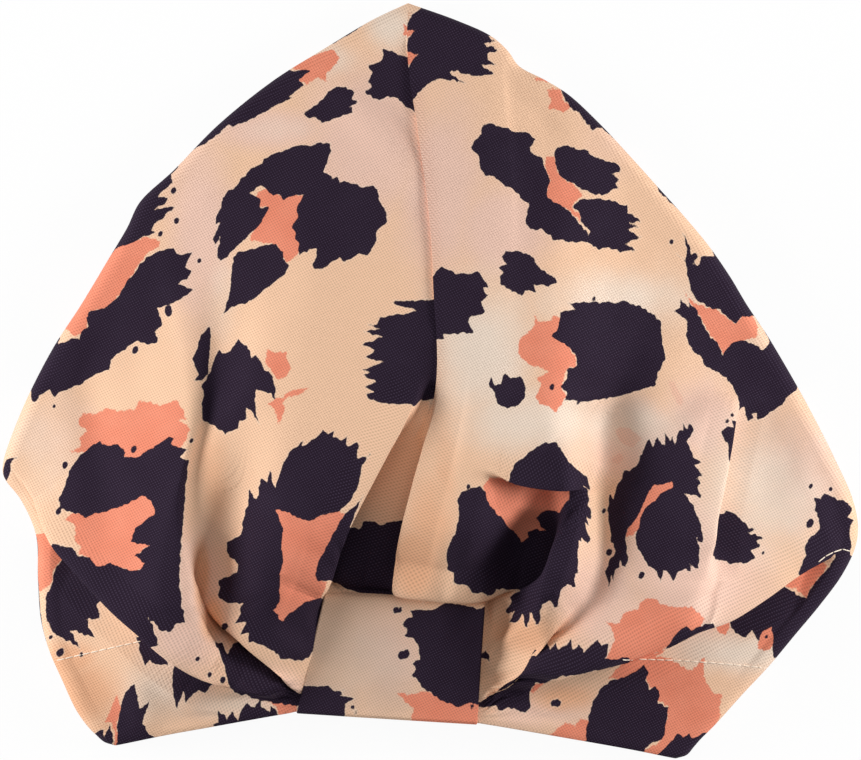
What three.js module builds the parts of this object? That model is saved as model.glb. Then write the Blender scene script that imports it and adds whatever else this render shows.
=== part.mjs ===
// Turban-style shower cap, laid on its back with its gathered front up.
// Millimetres. X runs across the cap, Y towards the crown tip, Z up from the surface that it lies on.
// Each half of the cap is a fan of rays: they start under the loop at the front, run out over the
// pleats to the side fold, roll under it and run back to the elastic rim.

import * as THREE from 'three';

const { lerp, smoothstep, degToRad } = THREE.MathUtils;

// Overall size as it lies
const CAP_WIDTH = 291;
const CAP_LENGTH = 257;

// Layers, from the outside in, and the air between them
const CLOTH = 0.9;
const LINING = 0.5;
const FACING = 0.8;
const LAYER_GAP = 0.3;
const FACING_GAP = 0.8;
const SEAM_GAP = 0.3;

// Heights of the cap as it lies
const RIM_LIFT = 26;
const LOOP_CLIMB = 8;
const PUFF = 24;
const PLEAT_RISE = 13;
const CORNER_RADIUS = 6;
const SIDE_RADIUS = 9;

// Front hem and loop
const HEM_DEPTH = 33;
const LOOP_WIDTH = 59;
const LOOP_TOP_WIDTH = 53;
const LOOP_HEIGHT = 41;
const LOOP_TAIL = 36;
const LOOP_CLOTH = 1.6;
const LOOP_EASE = 1;
const LOOP_TILT = degToRad(6);

// Back rim and its elastic
const BACK_RISE = 10;
const BACK_EDGE = 8;
const ELASTIC_WIDTH = 8;
const ELASTIC_THICKNESS = 1;
const CASING_SEAM = 3;
const CASING_START = 0.15;

// Facets
const LOOP_ROWS = 2;
const FREE_ROWS = 18;
const ROLL_ROWS = 6;
const BACK_ROWS = 4;
const FOLD_ROW = LOOP_ROWS + FREE_ROWS;
const FACING_COLUMNS = 6;
const RIM_STEPS = 12;
const BEND_STEPS = 6;

// Share of a ray over which a pleat rises, and the share from which it sinks towards the side fold
const PLEAT_RUN_UP = 0.12;
const PLEAT_SINKS = 0.5;

// Share of the side outline over which its fold turns square at both ends
const FOLD_TURNS = 0.12;

const UP = new THREE.Vector3(0, 0, 1);
const DOWN = new THREE.Vector3(0, 0, -1);
const TO_TIP = new THREE.Vector3(0, 1, 0);

// A point of the plan, in half widths and in lengths from the middle of the cap
const at = (x, y) => new THREE.Vector3((x * CAP_WIDTH) / 2, y * CAP_LENGTH, 0);

const RIM_CENTRE = at(-0.097, -0.427);
const CROWN_TIP = at(-0.052, 0.5);
const ALONG_LOOP = new THREE.Vector3(Math.sin(LOOP_TILT), Math.cos(LOOP_TILT), 0);
const ACROSS_LOOP = new THREE.Vector3(Math.cos(LOOP_TILT), -Math.sin(LOOP_TILT), 0);

// The centre seam's way from the loop to the crown tip
const SEAM_ROUTE = [at(-0.03, -0.145), at(0.002, -0.032), at(0.016, 0.047), at(0, 0.199), at(-0.03, 0.331)];

// A ray's entries: gather is its start up the loop's centre line, exit the place where it leaves the loop
// (half widths across, heights up), route its way from there, end its share of the side outline, swell its
// share of PUFF, and crest how far out the swell is highest: below 1 it is nearer to the loop.
// A pleat's entries: its place among the rays, its share of PLEAT_RISE, and where on the ray it starts to
// rise and to sink, if not at the loop and at PLEAT_SINKS.
const LEFT = {
  sign: -1,
  outline: [
    at(-0.764, -0.481), at(-0.828, -0.436), at(-0.89, -0.356), at(-0.913, -0.277), at(-0.923, -0.198),
    at(-1, -0.118), at(-0.928, 0), at(-0.753, 0.16), at(-0.531, 0.318), at(-0.194, 0.457), CROWN_TIP,
  ],
  rays: [
    {
      gather: 0, exit: [1, 0], end: 0, swell: 0, crest: 0.9,
      route: [at(-0.467, -0.456), at(-0.608, -0.469)],
    },
    {
      gather: 0.1, exit: [1, 0.12], end: 0.245, swell: 0.3, crest: 0.9,
      route: [at(-0.479, -0.405), at(-0.603, -0.383), at(-0.689, -0.337), at(-0.795, -0.284)],
    },
    {
      gather: 0.25, exit: [1, 0.3], end: 0.676, swell: 0.7, crest: 0.8,
      route: [at(-0.421, -0.37), at(-0.537, -0.28), at(-0.565, -0.15), at(-0.523, -0.026), at(-0.54, 0.11)],
    },
    {
      gather: 0.5, exit: [1, 1], end: 0.833, swell: 0.9, crest: 0.65,
      route: [at(-0.31, -0.132), at(-0.3, 0), at(-0.28, 0.173)],
    },
    {
      gather: 0.65, exit: [0.8, 1], end: 0.955, swell: 0.95, crest: 0.85,
      route: [at(-0.152, -0.151), at(-0.035, -0.039), at(-0.014, 0.067), at(-0.03, 0.219), at(-0.075, 0.358)],
    },
    { gather: 0.8, exit: [0, 1], route: SEAM_ROUTE, end: 1, swell: 1, crest: 0.65 },
  ],
  pleats: [
    [0, 0], [0.5, 0], [0.9, 0], [1, 0.9, 0, 0.65], [1.2, 1.25, 0, 0.65], [1.55, 1.3, 0, 0.65],
    [1.85, 1.1, 0, 0.65], [1.97, 0.7], [2.05, 0], [2.25, 0.3], [2.5, 0.65], [3, 0.8], [3.5, 0.75],
    [3.85, 0.7], [4, 0.65, 0.24], [4.4, 0.6, 0.26], [4.8, 0.55, 0.2], [5, 0.5],
  ],
};

const RIGHT = {
  sign: 1,
  outline: [
    at(0.598, -0.498), at(0.853, -0.337), at(0.981, -0.237), at(1, -0.198), at(0.975, -0.138),
    at(0.851, 0.001), at(0.676, 0.16), at(0.434, 0.318), at(0.269, 0.398), at(0.138, 0.457), CROWN_TIP,
  ],
  rays: [
    {
      gather: 0, exit: [1, 0], end: 0, swell: 0, crest: 0.9,
      route: [at(0.304, -0.469), at(0.491, -0.489)],
    },
    {
      gather: 0.08, exit: [1, 0.1], end: 0.296, swell: 0.3, crest: 0.9,
      route: [at(0.269, -0.405), at(0.432, -0.366), at(0.631, -0.323), at(0.853, -0.251)],
    },
    {
      gather: 0.16, exit: [1, 0.22], end: 0.468, swell: 0.5, crest: 0.85,
      route: [at(0.304, -0.378), at(0.491, -0.333), at(0.631, -0.277), at(0.689, -0.125), at(0.724, -0.052)],
    },
    {
      gather: 0.28, exit: [1, 0.4], end: 0.634, swell: 0.7, crest: 0.8,
      route: [at(0.28, -0.343), at(0.386, -0.27), at(0.407, -0.092), at(0.456, 0.014), at(0.542, 0.12)],
    },
    {
      gather: 0.6, exit: [1, 1], end: 0.83, swell: 0.95, crest: 0.9,
      route: [at(0.19, -0.22), at(0.24, -0.1), at(0.25, 0.05), at(0.28, 0.22)],
    },
    { gather: 0.8, exit: [0, 1], route: SEAM_ROUTE, end: 1, swell: 1, crest: 0.65 },
  ],
  pleats: [
    [0, 0], [0.5, 0], [0.9, 0], [1, 0.9, 0.1, 0.7], [1.4, 1.05, 0.1, 0.7], [1.9, 0.8, 0.05, 0.7],
    [2, 1.1, 0, 0.7], [2.3, 1.35, 0, 0.7], [2.7, 1.1, 0, 0.65], [2.9, 0.4], [3, 0.1], [3.15, 0.6], [3.4, 0.9],
    [3.5, 0.85, 0.1], [3.6, 0.8, 0.2], [3.85, 0.75, 0.2], [4, 0.7, 0.16], [4.15, 0.7, 0.06], [4.3, 0.75],
    [4.6, 0.9], [4.85, 0.75], [5, 0.5],
  ],
};

// Plan of the loop: half its width at a height, and a point across and along it
const loopHalf = (height) => lerp(LOOP_WIDTH, LOOP_TOP_WIDTH, height / LOOP_HEIGHT) / 2;

function loopPoint(across, along) {
  return RIM_CENTRE.clone().addScaledVector(ACROSS_LOOP, across).addScaledVector(ALONG_LOOP, along);
}

// Height of the gathered cloth under the loop, at a distance up from the rim
const gatheredHeight = (along) => RIM_LIFT + (LOOP_CLIMB * Math.max(along, 0)) / LOOP_HEIGHT;

const alongLoop = (point) => point.clone().sub(RIM_CENTRE).dot(ALONG_LOOP);

// The side fold at a share of the outline: its radius, its outward direction and the foot that it rolls
// round. At the hem corner it runs out square to the rim, and at the crown tip square to the seam.
function sideFold(side, share) {
  const radius = lerp(CORNER_RADIUS, SIDE_RADIUS, Math.sin(Math.PI * share));
  const edge = side.curve.getPointAt(share);
  const run = side.curve.getTangentAt(share);
  const out = new THREE.Vector3(run.y, -run.x, 0).multiplyScalar(side.sign);
  out.lerp(side.rimRun, 1 - smoothstep(share, 0, FOLD_TURNS));
  out.lerp(TO_TIP, smoothstep(share, 1 - FOLD_TURNS, 1)).normalize();
  return { radius, out, foot: edge.addScaledVector(out, -radius) };
}

// The back rim, drawn up by its elastic between the hem corners
function backRim(side, share) {
  const corner = sideFold(side, 0).foot;
  corner.x -= side.sign * BACK_EDGE;
  const draw = 1 - (1 - share) ** 2;
  const y = lerp(corner.y, RIM_CENTRE.y + BACK_RISE, draw);
  return new THREE.Vector3(lerp(corner.x, RIM_CENTRE.x, share), y, 0);
}

// Value between two neighbouring rays at a place such as 1.4
function between(side, place, pick) {
  const first = Math.min(Math.floor(place), side.rays.length - 2);
  const part = place - first;
  const low = pick(side.rays[first]);
  const high = pick(side.rays[first + 1]);
  return low.isVector3 ? low.clone().lerp(high, part) : lerp(low, high, part);
}

// Gives a half of the cap its outline curve and the curves of its rays
function layOut(side) {
  side.curve = new THREE.CatmullRomCurve3(side.outline);
  side.rimRun = side.outline[0].clone().sub(side.rays[0].route.at(-1)).normalize();
  for (const ray of side.rays) {
    const [across, up] = ray.exit;
    const exitAlong = up === 1 ? LOOP_HEIGHT + LOOP_EASE : up * LOOP_HEIGHT;
    const exitAcross = side.sign * across * (loopHalf(up * LOOP_HEIGHT) + LOOP_EASE);
    ray.start = loopPoint(0, ray.gather * LOOP_HEIGHT);
    ray.leave = loopPoint(exitAcross, exitAlong);
    ray.free = new THREE.CatmullRomCurve3([ray.leave, ...ray.route, sideFold(side, ray.end).foot]);
  }
  return side;
}

// One ray of a half, as points from the loop's centre line to the back rim. Each has its lift by the pleat.
function rayPoints(side, [place, pleatShare, starts = 0, sinks = PLEAT_SINKS]) {
  const points = [];
  const share = between(side, place, (ray) => ray.end);
  const swell = between(side, place, (ray) => ray.swell);
  const crest = between(side, place, (ray) => ray.crest);
  const { radius, out, foot } = sideFold(side, share);
  const start = between(side, place, (ray) => ray.start);
  const leave = between(side, place, (ray) => ray.leave);
  for (let row = 0; row < LOOP_ROWS; row += 1) {
    const point = start.clone().lerp(leave, row / LOOP_ROWS);
    point.z = gatheredHeight(alongLoop(point));
    points.push({ point, lift: 0 });
  }
  const drift = foot.clone().sub(between(side, place, (ray) => ray.free.getPointAt(1)));
  const leaveHeight = gatheredHeight(alongLoop(leave));
  for (let row = 0; row <= FREE_ROWS; row += 1) {
    const part = row / FREE_ROWS;
    const point = between(side, place, (ray) => ray.free.getPointAt(part));
    point.addScaledVector(drift, part * part);
    point.z = lerp(leaveHeight, 2 * radius - CLOTH, part) + PUFF * swell * Math.sin(Math.PI * part ** crest);
    const fade = smoothstep(part, starts, starts + PLEAT_RUN_UP) * (1 - smoothstep(part, sinks, 1));
    points.push({ point, lift: PLEAT_RISE * pleatShare * fade });
  }
  for (let row = 1; row <= ROLL_ROWS; row += 1) {
    const angle = Math.PI * (0.5 - row / ROLL_ROWS);
    const point = foot.clone().addScaledVector(out, (radius - CLOTH) * Math.cos(angle));
    point.z = radius + (radius - CLOTH) * Math.sin(angle);
    points.push({ point, lift: 0 });
  }
  const rim = backRim(side, share);
  for (let row = 1; row <= BACK_ROWS; row += 1) {
    const point = foot.clone().lerp(rim, row / BACK_ROWS);
    point.z = CLOTH;
    points.push({ point, lift: 0 });
  }
  return points;
}

// The grid of one half: columns are rays, rows run from the loop to the back rim.
// The seam column and the loop's centre line are set back by half the seam gap.
function halfGrid(side, lifted) {
  const columns = side.pleats.map((pleat) => rayPoints(side, pleat));
  const last = columns.length - 1;
  return columns.map((column, index) => column.map(({ point, lift }, row) => {
    const onSeam = index === last || row === 0;
    const seamShift = onSeam ? (side.sign * SEAM_GAP) / 2 : 0;
    return point.clone().add(new THREE.Vector3(seamShift, 0, lifted ? lift : 0));
  }));
}

// Outward directions of a grid. Along the seam they stay in its plane, and on the back they point down.
function gridNormals(side, grid) {
  const last = grid.length - 1;
  return grid.map((column, index) => column.map((point, row) => {
    if (row >= FOLD_ROW + ROLL_ROWS) return DOWN.clone();
    const before = grid[Math.max(index - 1, 0)][row];
    const after = grid[Math.min(index + 1, last)][row];
    const inner = column[Math.max(row - 1, 0)];
    const outer = column[row + 1];
    const normal = after.clone().sub(before).cross(outer.clone().sub(inner)).multiplyScalar(-side.sign);
    if (index === last) normal.x = 0;
    if (row === 0) normal.addScaledVector(ACROSS_LOOP, -normal.dot(ACROSS_LOOP));
    return normal.normalize();
  }));
}

function offsetGrid(grid, normals, distance) {
  return grid.map((column, index) => column.map(
    (point, row) => point.clone().addScaledVector(normals[index][row], distance),
  ));
}

// A geometry from points and triangles, turned so that its faces point out
function closedGeometry(points, triangles) {
  let volume = 0;
  for (const [a, b, c] of triangles) {
    volume += points[a].dot(points[b].clone().cross(points[c])) / 6;
  }
  const facing = volume < 0 ? triangles.map(([a, b, c]) => [a, c, b]) : triangles;
  const geometry = new THREE.BufferGeometry().setFromPoints(points);
  geometry.setIndex(facing.flat());
  geometry.computeVertexNormals();
  return geometry;
}

// A closed sheet between two grids of the same size
function sheetGeometry(outer, inner) {
  const columns = outer.length;
  const rows = outer[0].length;
  const points = [...outer.flat(), ...inner.flat()];
  const triangles = [];
  const outside = (column, row) => column * rows + row;
  const inside = (column, row) => (columns + column) * rows + row;
  const quad = (a, b, c, d) => triangles.push([a, b, c], [a, c, d]);
  for (let column = 0; column < columns - 1; column += 1) {
    const next = column + 1;
    for (let row = 0; row < rows - 1; row += 1) {
      quad(outside(column, row), outside(next, row), outside(next, row + 1), outside(column, row + 1));
      quad(inside(column, row), inside(column, row + 1), inside(next, row + 1), inside(next, row));
    }
    quad(inside(column, 0), inside(next, 0), outside(next, 0), outside(column, 0));
    const end = rows - 1;
    quad(outside(column, end), outside(next, end), inside(next, end), inside(column, end));
  }
  for (let row = 0; row < rows - 1; row += 1) {
    const next = row + 1;
    quad(outside(0, row), outside(0, next), inside(0, next), inside(0, row));
    const end = columns - 1;
    quad(inside(end, row), inside(end, next), outside(end, next), outside(end, row));
  }
  return closedGeometry(points, triangles);
}

// Outer cloth of one half, with its pleats
function crownGeometry(side) {
  const grid = halfGrid(side, true);
  const normals = gridNormals(side, grid);
  return sheetGeometry(offsetGrid(grid, normals, CLOTH), grid);
}

// Waterproof film inside one half, without the pleats
function liningGeometry(side) {
  const grid = halfGrid(side, false);
  const normals = gridNormals(side, grid);
  const outer = offsetGrid(grid, normals, -LAYER_GAP);
  return sheetGeometry(outer, offsetGrid(grid, normals, -LAYER_GAP - LINING));
}

// Points and directions at even distances along one row of a grid, up to the hem's depth
function hemRow(points, normals) {
  const lengths = points.slice(1).map((point, index) => point.distanceTo(points[index]));
  const total = lengths.reduce((sum, length) => sum + length, 0);
  const depth = Math.min(HEM_DEPTH, total - SEAM_GAP);
  const places = [];
  for (let step = 0; step <= FACING_COLUMNS; step += 1) {
    let left = (depth * step) / FACING_COLUMNS;
    let index = 0;
    while (left > lengths[index]) {
      left -= lengths[index];
      index += 1;
    }
    const part = left / lengths[index];
    const point = points[index].clone().lerp(points[index + 1], part);
    const normal = normals[index].clone().lerp(normals[index + 1], part).normalize();
    places.push({ point, normal });
  }
  return places;
}

// Cloth facing of the front hem, inside the lining, from the loop's centre line to the side fold
function facingGeometry(side) {
  const grid = halfGrid(side, false);
  const normals = gridNormals(side, grid);
  const outer = Array.from({ length: FACING_COLUMNS + 1 }, () => []);
  const inner = Array.from({ length: FACING_COLUMNS + 1 }, () => []);
  const depth = LAYER_GAP + LINING + FACING_GAP;
  for (let row = 0; row <= FOLD_ROW; row += 1) {
    const points = grid.map((column) => column[row]);
    const directions = normals.map((column) => column[row]);
    hemRow(points, directions).forEach(({ point, normal }, index) => {
      outer[index].push(point.clone().addScaledVector(normal, -depth));
      inner[index].push(point.clone().addScaledVector(normal, -depth - FACING));
    });
  }
  return sheetGeometry(outer, inner);
}

// Height of the lining's inner face on the back, where the elastic lies
const BACK_FLOOR = CLOTH + LAYER_GAP + LINING;
const CASING_WIDTH = ELASTIC_WIDTH + 2 * (LAYER_GAP + CASING_SEAM);

// Middle line of the elastic, from the left hem corner round to the right one
function elasticPath() {
  const shares = Array.from({ length: RIM_STEPS + 1 }, (_, step) => lerp(CASING_START, 1, step / RIM_STEPS));
  const left = shares.map((share) => backRim(LEFT, share));
  const right = shares.slice(0, -1).map((share) => backRim(RIGHT, share)).reverse();
  const rim = [...left, ...right];
  return rim.map((point, index) => {
    const before = rim[Math.max(index - 1, 0)];
    const after = rim[Math.min(index + 1, rim.length - 1)];
    const across = UP.clone().cross(after.clone().sub(before)).normalize();
    return { point: point.clone().addScaledVector(across, CASING_WIDTH / 2 + LAYER_GAP), across };
  });
}

// A closed bar: a flat section (across, height) carried along a path
function barGeometry(path, section) {
  const points = [];
  const triangles = [];
  const sides = section.length;
  for (const { point, across } of path) {
    for (const corner of section) {
      points.push(point.clone().addScaledVector(across, corner.x).addScaledVector(UP, corner.y));
    }
  }
  for (let step = 0; step < path.length - 1; step += 1) {
    for (let corner = 0; corner < sides; corner += 1) {
      const here = step * sides + corner;
      const beside = step * sides + ((corner + 1) % sides);
      triangles.push([here, beside, beside + sides], [here, beside + sides, here + sides]);
    }
  }
  const lastRing = (path.length - 1) * sides;
  for (const [a, b, c] of THREE.ShapeUtils.triangulateShape(section, [])) {
    triangles.push([a, c, b], [lastRing + a, lastRing + b, lastRing + c]);
  }
  return closedGeometry(points, triangles);
}

function elasticGeometry() {
  const half = ELASTIC_WIDTH / 2;
  const low = BACK_FLOOR + LAYER_GAP;
  const high = low + ELASTIC_THICKNESS;
  const section = [[-half, low], [half, low], [half, high], [-half, high]];
  return barGeometry(elasticPath(), section.map(([x, y]) => new THREE.Vector2(x, y)));
}

// A channel over the elastic, sewn down along both its edges
function casingGeometry() {
  const half = CASING_WIDTH / 2;
  const slot = ELASTIC_WIDTH / 2 + LAYER_GAP;
  const low = BACK_FLOOR + LAYER_GAP;
  const roof = low + ELASTIC_THICKNESS + LAYER_GAP;
  const high = roof + CLOTH;
  const section = [
    [-half, low], [-slot, low], [-slot, roof], [slot, roof],
    [slot, low], [half, low], [half, high], [-half, high],
  ];
  return barGeometry(elasticPath(), section.map(([x, y]) => new THREE.Vector2(x, y)));
}

// Side view of the loop: places along it, the height of its inner face and the way its cloth thickens
function loopProfile() {
  const stack = CLOTH + LAYER_GAP + LINING + FACING_GAP + FACING;
  const bend = stack / 2 + LAYER_GAP;
  const bendHeight = RIM_LIFT + CLOTH + LAYER_GAP - bend;
  const profile = [LOOP_HEIGHT, (2 * LOOP_HEIGHT) / 3, LOOP_HEIGHT / 3, 0].map((along) => (
    { along, height: gatheredHeight(along) + CLOTH + LAYER_GAP, out: UP.clone() }
  ));
  for (let step = 0; step <= BEND_STEPS; step += 1) {
    const angle = Math.PI * (0.5 - step / BEND_STEPS);
    const out = UP.clone().multiplyScalar(Math.sin(angle)).addScaledVector(ALONG_LOOP, -Math.cos(angle));
    const along = -LOOP_EASE - bend * Math.cos(angle);
    profile.push({ along, height: bendHeight + bend * Math.sin(angle), out });
  }
  for (const along of [0, LOOP_TAIL / 2, LOOP_TAIL]) {
    profile.push({ along, height: gatheredHeight(along) + CLOTH - stack - LAYER_GAP, out: DOWN.clone() });
  }
  return profile;
}

// The loop: a folded band over the pleats, round the rim and up inside
function loopGeometry() {
  const profile = loopProfile();
  const bendEnd = profile.length - 4;
  const places = [-1, -0.5, 0, 0.5, 1];
  const inner = places.map((place) => profile.map(({ along, height }, step) => {
    const half = loopHalf(step > bendEnd ? 0 : Math.max(along, 0));
    const point = loopPoint(place * half, along);
    point.z = height;
    return point;
  }));
  const outer = inner.map((line) => line.map(
    (point, step) => point.clone().addScaledVector(profile[step].out, LOOP_CLOTH),
  ));
  return sheetGeometry(outer, inner);
}

const printedCloth = new THREE.MeshStandardMaterial({ color: 0xe8c0a0, roughness: 0.6, metalness: 0 });
const clearFilm = new THREE.MeshStandardMaterial({ color: 0xece8e2, roughness: 0.35, metalness: 0 });
const elasticWeave = new THREE.MeshStandardMaterial({ color: 0xf2f0ec, roughness: 0.8, metalness: 0 });

function namedMesh(name, geometry, material) {
  const mesh = new THREE.Mesh(geometry, material);
  mesh.name = name;
  return mesh;
}

const cap = new THREE.Group();
for (const [word, half] of [['left', LEFT], ['right', RIGHT]]) {
  const side = layOut(half);
  cap.add(namedMesh(`${word}_crown_panel`, crownGeometry(side), printedCloth));
  cap.add(namedMesh(`${word}_lining_panel`, liningGeometry(side), clearFilm));
  cap.add(namedMesh(`${word}_front_facing`, facingGeometry(side), printedCloth));
}
cap.add(namedMesh('back_casing', casingGeometry(), printedCloth));
cap.add(namedMesh('elastic_band', elasticGeometry(), elasticWeave));
cap.add(namedMesh('front_loop', loopGeometry(), printedCloth));

// The origin is under the middle of the cap, on the surface that it lies on
const box = new THREE.Box3().setFromObject(cap);
const middle = box.getCenter(new THREE.Vector3());
cap.position.set(-middle.x, -middle.y, -box.min.z);

export default cap;
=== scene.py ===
"""Turban shower cap of printed cloth, laid on its back on a white surface.

Places in the plan are read off the 861 by 760 picture in pixels, and plan() turns them into millimetres.
Heights and sizes are in millimetres. The meshes are scaled to metres when they are made.
"""

import math
from dataclasses import dataclass

import bpy
import numpy as np
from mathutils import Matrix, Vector, noise
from mathutils.bvhtree import BVHTree


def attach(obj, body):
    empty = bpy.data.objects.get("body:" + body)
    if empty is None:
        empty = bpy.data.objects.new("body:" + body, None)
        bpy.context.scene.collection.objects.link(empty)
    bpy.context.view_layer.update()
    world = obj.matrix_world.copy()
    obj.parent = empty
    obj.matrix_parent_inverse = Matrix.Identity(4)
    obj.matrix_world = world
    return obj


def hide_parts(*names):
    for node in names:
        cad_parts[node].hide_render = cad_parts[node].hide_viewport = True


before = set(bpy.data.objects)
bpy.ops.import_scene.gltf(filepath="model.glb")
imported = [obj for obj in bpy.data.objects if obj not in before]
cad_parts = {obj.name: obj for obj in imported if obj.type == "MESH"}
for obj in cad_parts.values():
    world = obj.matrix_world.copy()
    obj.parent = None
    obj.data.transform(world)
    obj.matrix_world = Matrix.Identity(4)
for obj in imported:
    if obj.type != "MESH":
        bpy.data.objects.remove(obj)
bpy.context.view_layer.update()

# The picture and its scale
PICTURE_WIDTH = 861
PICTURE_HEIGHT = 760
PIXEL = 0.34
PLAN_CENTRE = (430, 380.5)
METRE = 0.001

# Heights of the cap as it lies
RIM_LIFT = 26
LOOP_CLIMB = 8
PUFF = 24
PLEAT_RISE = 11
PLEAT_STARTS = 0.12
PLEAT_SINKS = 0.5
PLEAT_SOFTNESS = 0.1
CORNER_RADIUS = 6
SIDE_RADIUS = 9
ROLL_SHARE = 0.5
BACK_LIFT = 0.3

# Hem, loop and back rim
HEM_DEPTH = 33
LOOP_EASE = 1
LOOP_THICKNESS = 1.6
BACK_RISE = 10
BACK_EDGE = 8
BACK_INSET = 2
FOLD_TURNS = 0.12
CASING_WIDTH = 14
ELASTIC_WIDTH = 10

# Grid of a crown panel
COLUMN_STEP = 0.6
LOOP_ROWS = 8
FREE_ROWS = 340
ROLL_ROWS = 18
BACK_ROWS = 60
CURL_COLUMNS = 6

# Depth of the layers inside the crown
LINING_DEPTH = 1.5
FACING_DEPTH = 2.4

# Sides of a fold
LOW = -1
HIGH = 1


def plan(points):
    """Pixels of the picture to millimetres. Further entries of a point stay as they are."""
    points = np.array(points, float)
    points[..., 0] = (points[..., 0] - PLAN_CENTRE[0]) * PIXEL
    points[..., 1] = (PLAN_CENTRE[1] - points[..., 1]) * PIXEL
    return points


def smoothstep(value, low, high):
    part = np.clip((value - low) / (high - low), 0, 1)
    return part * part * (3 - 2 * part)


def mix(low, high, part):
    return low + (high - low) * part


def hermite(part, start, end, leave, arrive):
    """A smooth way from start to end, with the directions in which it leaves and arrives."""
    square = part**2
    cube = part**3
    begun = (2 * cube - 3 * square + 1) * start + (cube - 2 * square + part) * leave
    return begun + (3 * square - 2 * cube) * end + (cube - square) * arrive


CURVE_STEPS = 24


def smooth_line(points, count):
    """Evenly spaced points on a centripetal curve through the given ones."""
    points = np.asarray(points, float)
    chain = np.vstack([2 * points[0] - points[1], points, 2 * points[-1] - points[-2]])
    steps = np.linspace(0, 1, CURVE_STEPS, endpoint=False)[:, None]
    pieces = []
    for a, b, c, d in zip(chain, chain[1:], chain[2:], chain[3:]):
        before, here, after = (math.sqrt(math.dist(p[:2], q[:2])) for p, q in ((a, b), (b, c), (c, d)))
        leave = here * ((b - a) / before - (c - a) / (before + here) + (c - b) / here)
        arrive = here * ((c - b) / here - (d - b) / (here + after) + (d - c) / after)
        pieces.append(hermite(steps, b, c, leave, arrive))
    dense = np.vstack([*pieces, points[-1:]])
    lengths = np.concatenate([[0], np.cumsum(np.linalg.norm(np.diff(dense[:, :2], axis=0), axis=1))])
    places = np.linspace(0, lengths[-1], count)
    return np.stack([np.interp(places, lengths, column) for column in dense.T], axis=1)


def line_length(line):
    return np.linalg.norm(np.diff(line[:, :2], axis=0), axis=1).sum()


def unit(vectors):
    return vectors / np.maximum(np.linalg.norm(vectors, axis=-1, keepdims=True), 1e-9)


@dataclass
class Ray:
    """A line of the fan: start up the loop's centre line, place on the loop's edge where it leaves it, way
    from there, end as a share of the side outline, share of PUFF, and how early it swells."""

    gather: float
    leave: tuple
    route: list
    end: float
    swell: float
    curve: float


@dataclass
class Fold:
    """An edge where cloth lies over cloth. Each point of its path has its strength, high is the side of the
    path that lies on top, over how far the cloth goes over, and reach how far its rise and dip spread."""

    path: list
    high: int
    rise: float
    dip: float
    reach: tuple
    over: float
    radius: float


@dataclass
class Ridge:
    """A soft ridge, or a valley where its height is below zero."""

    path: list
    height: float
    width: float


@dataclass
class Blotch:
    """A printed patch. With a fold's name it is only on that side of the fold."""

    points: list
    fold: str = ""
    side: int = 0


@dataclass
class Side:
    sign: int
    outline: list
    rays: list
    folds: dict
    pleats: list
    ridges: list
    dark: list
    coral: list
    dots: list


# Corners of the loop's front: bottom left, bottom right, top right, top left
LOOP_CORNERS = plan([(299, 709), (476, 720), (484, 599), (327, 590)])
RIM_CENTRE = (LOOP_CORNERS[0] + LOOP_CORNERS[1]) / 2
SEAM_ON_LOOP = 0.446

SEAM = [
    (405, 530), (415, 490), (425, 445), (433, 400), (437, 370), (437, 340), (434, 298), (432, 255),
    (428, 205), (423, 165), (416, 115), (411, 85), (407, 45),
]
APEX = (408, 3)

SEAM_FOLD = Fold([
    (397, 598, 0.6), (400, 560, 1), (405, 530, 1), (415, 490, 1), (425, 445, 0.8), (433, 405, 0.45),
    (437, 370, 0.2), (437, 340, 0.05), (434, 298, 0),
], high=-1, rise=5, dip=4, reach=(24, 16), over=5.5, radius=10)
SEAM_LINE = Fold([
    (434, 400, 0), (437, 370, 0.5), (437, 340, 0.8), (434, 298, 0.8), (432, 255, 0.8), (428, 205, 0.9),
    (423, 165, 1), (416, 115, 1), (411, 85, 0.9), (407, 45, 0.6), (408, 8, 0),
], high=-1, rise=0.6, dip=0.8, reach=(6, 2.6), over=1.2, radius=2.4)

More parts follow.
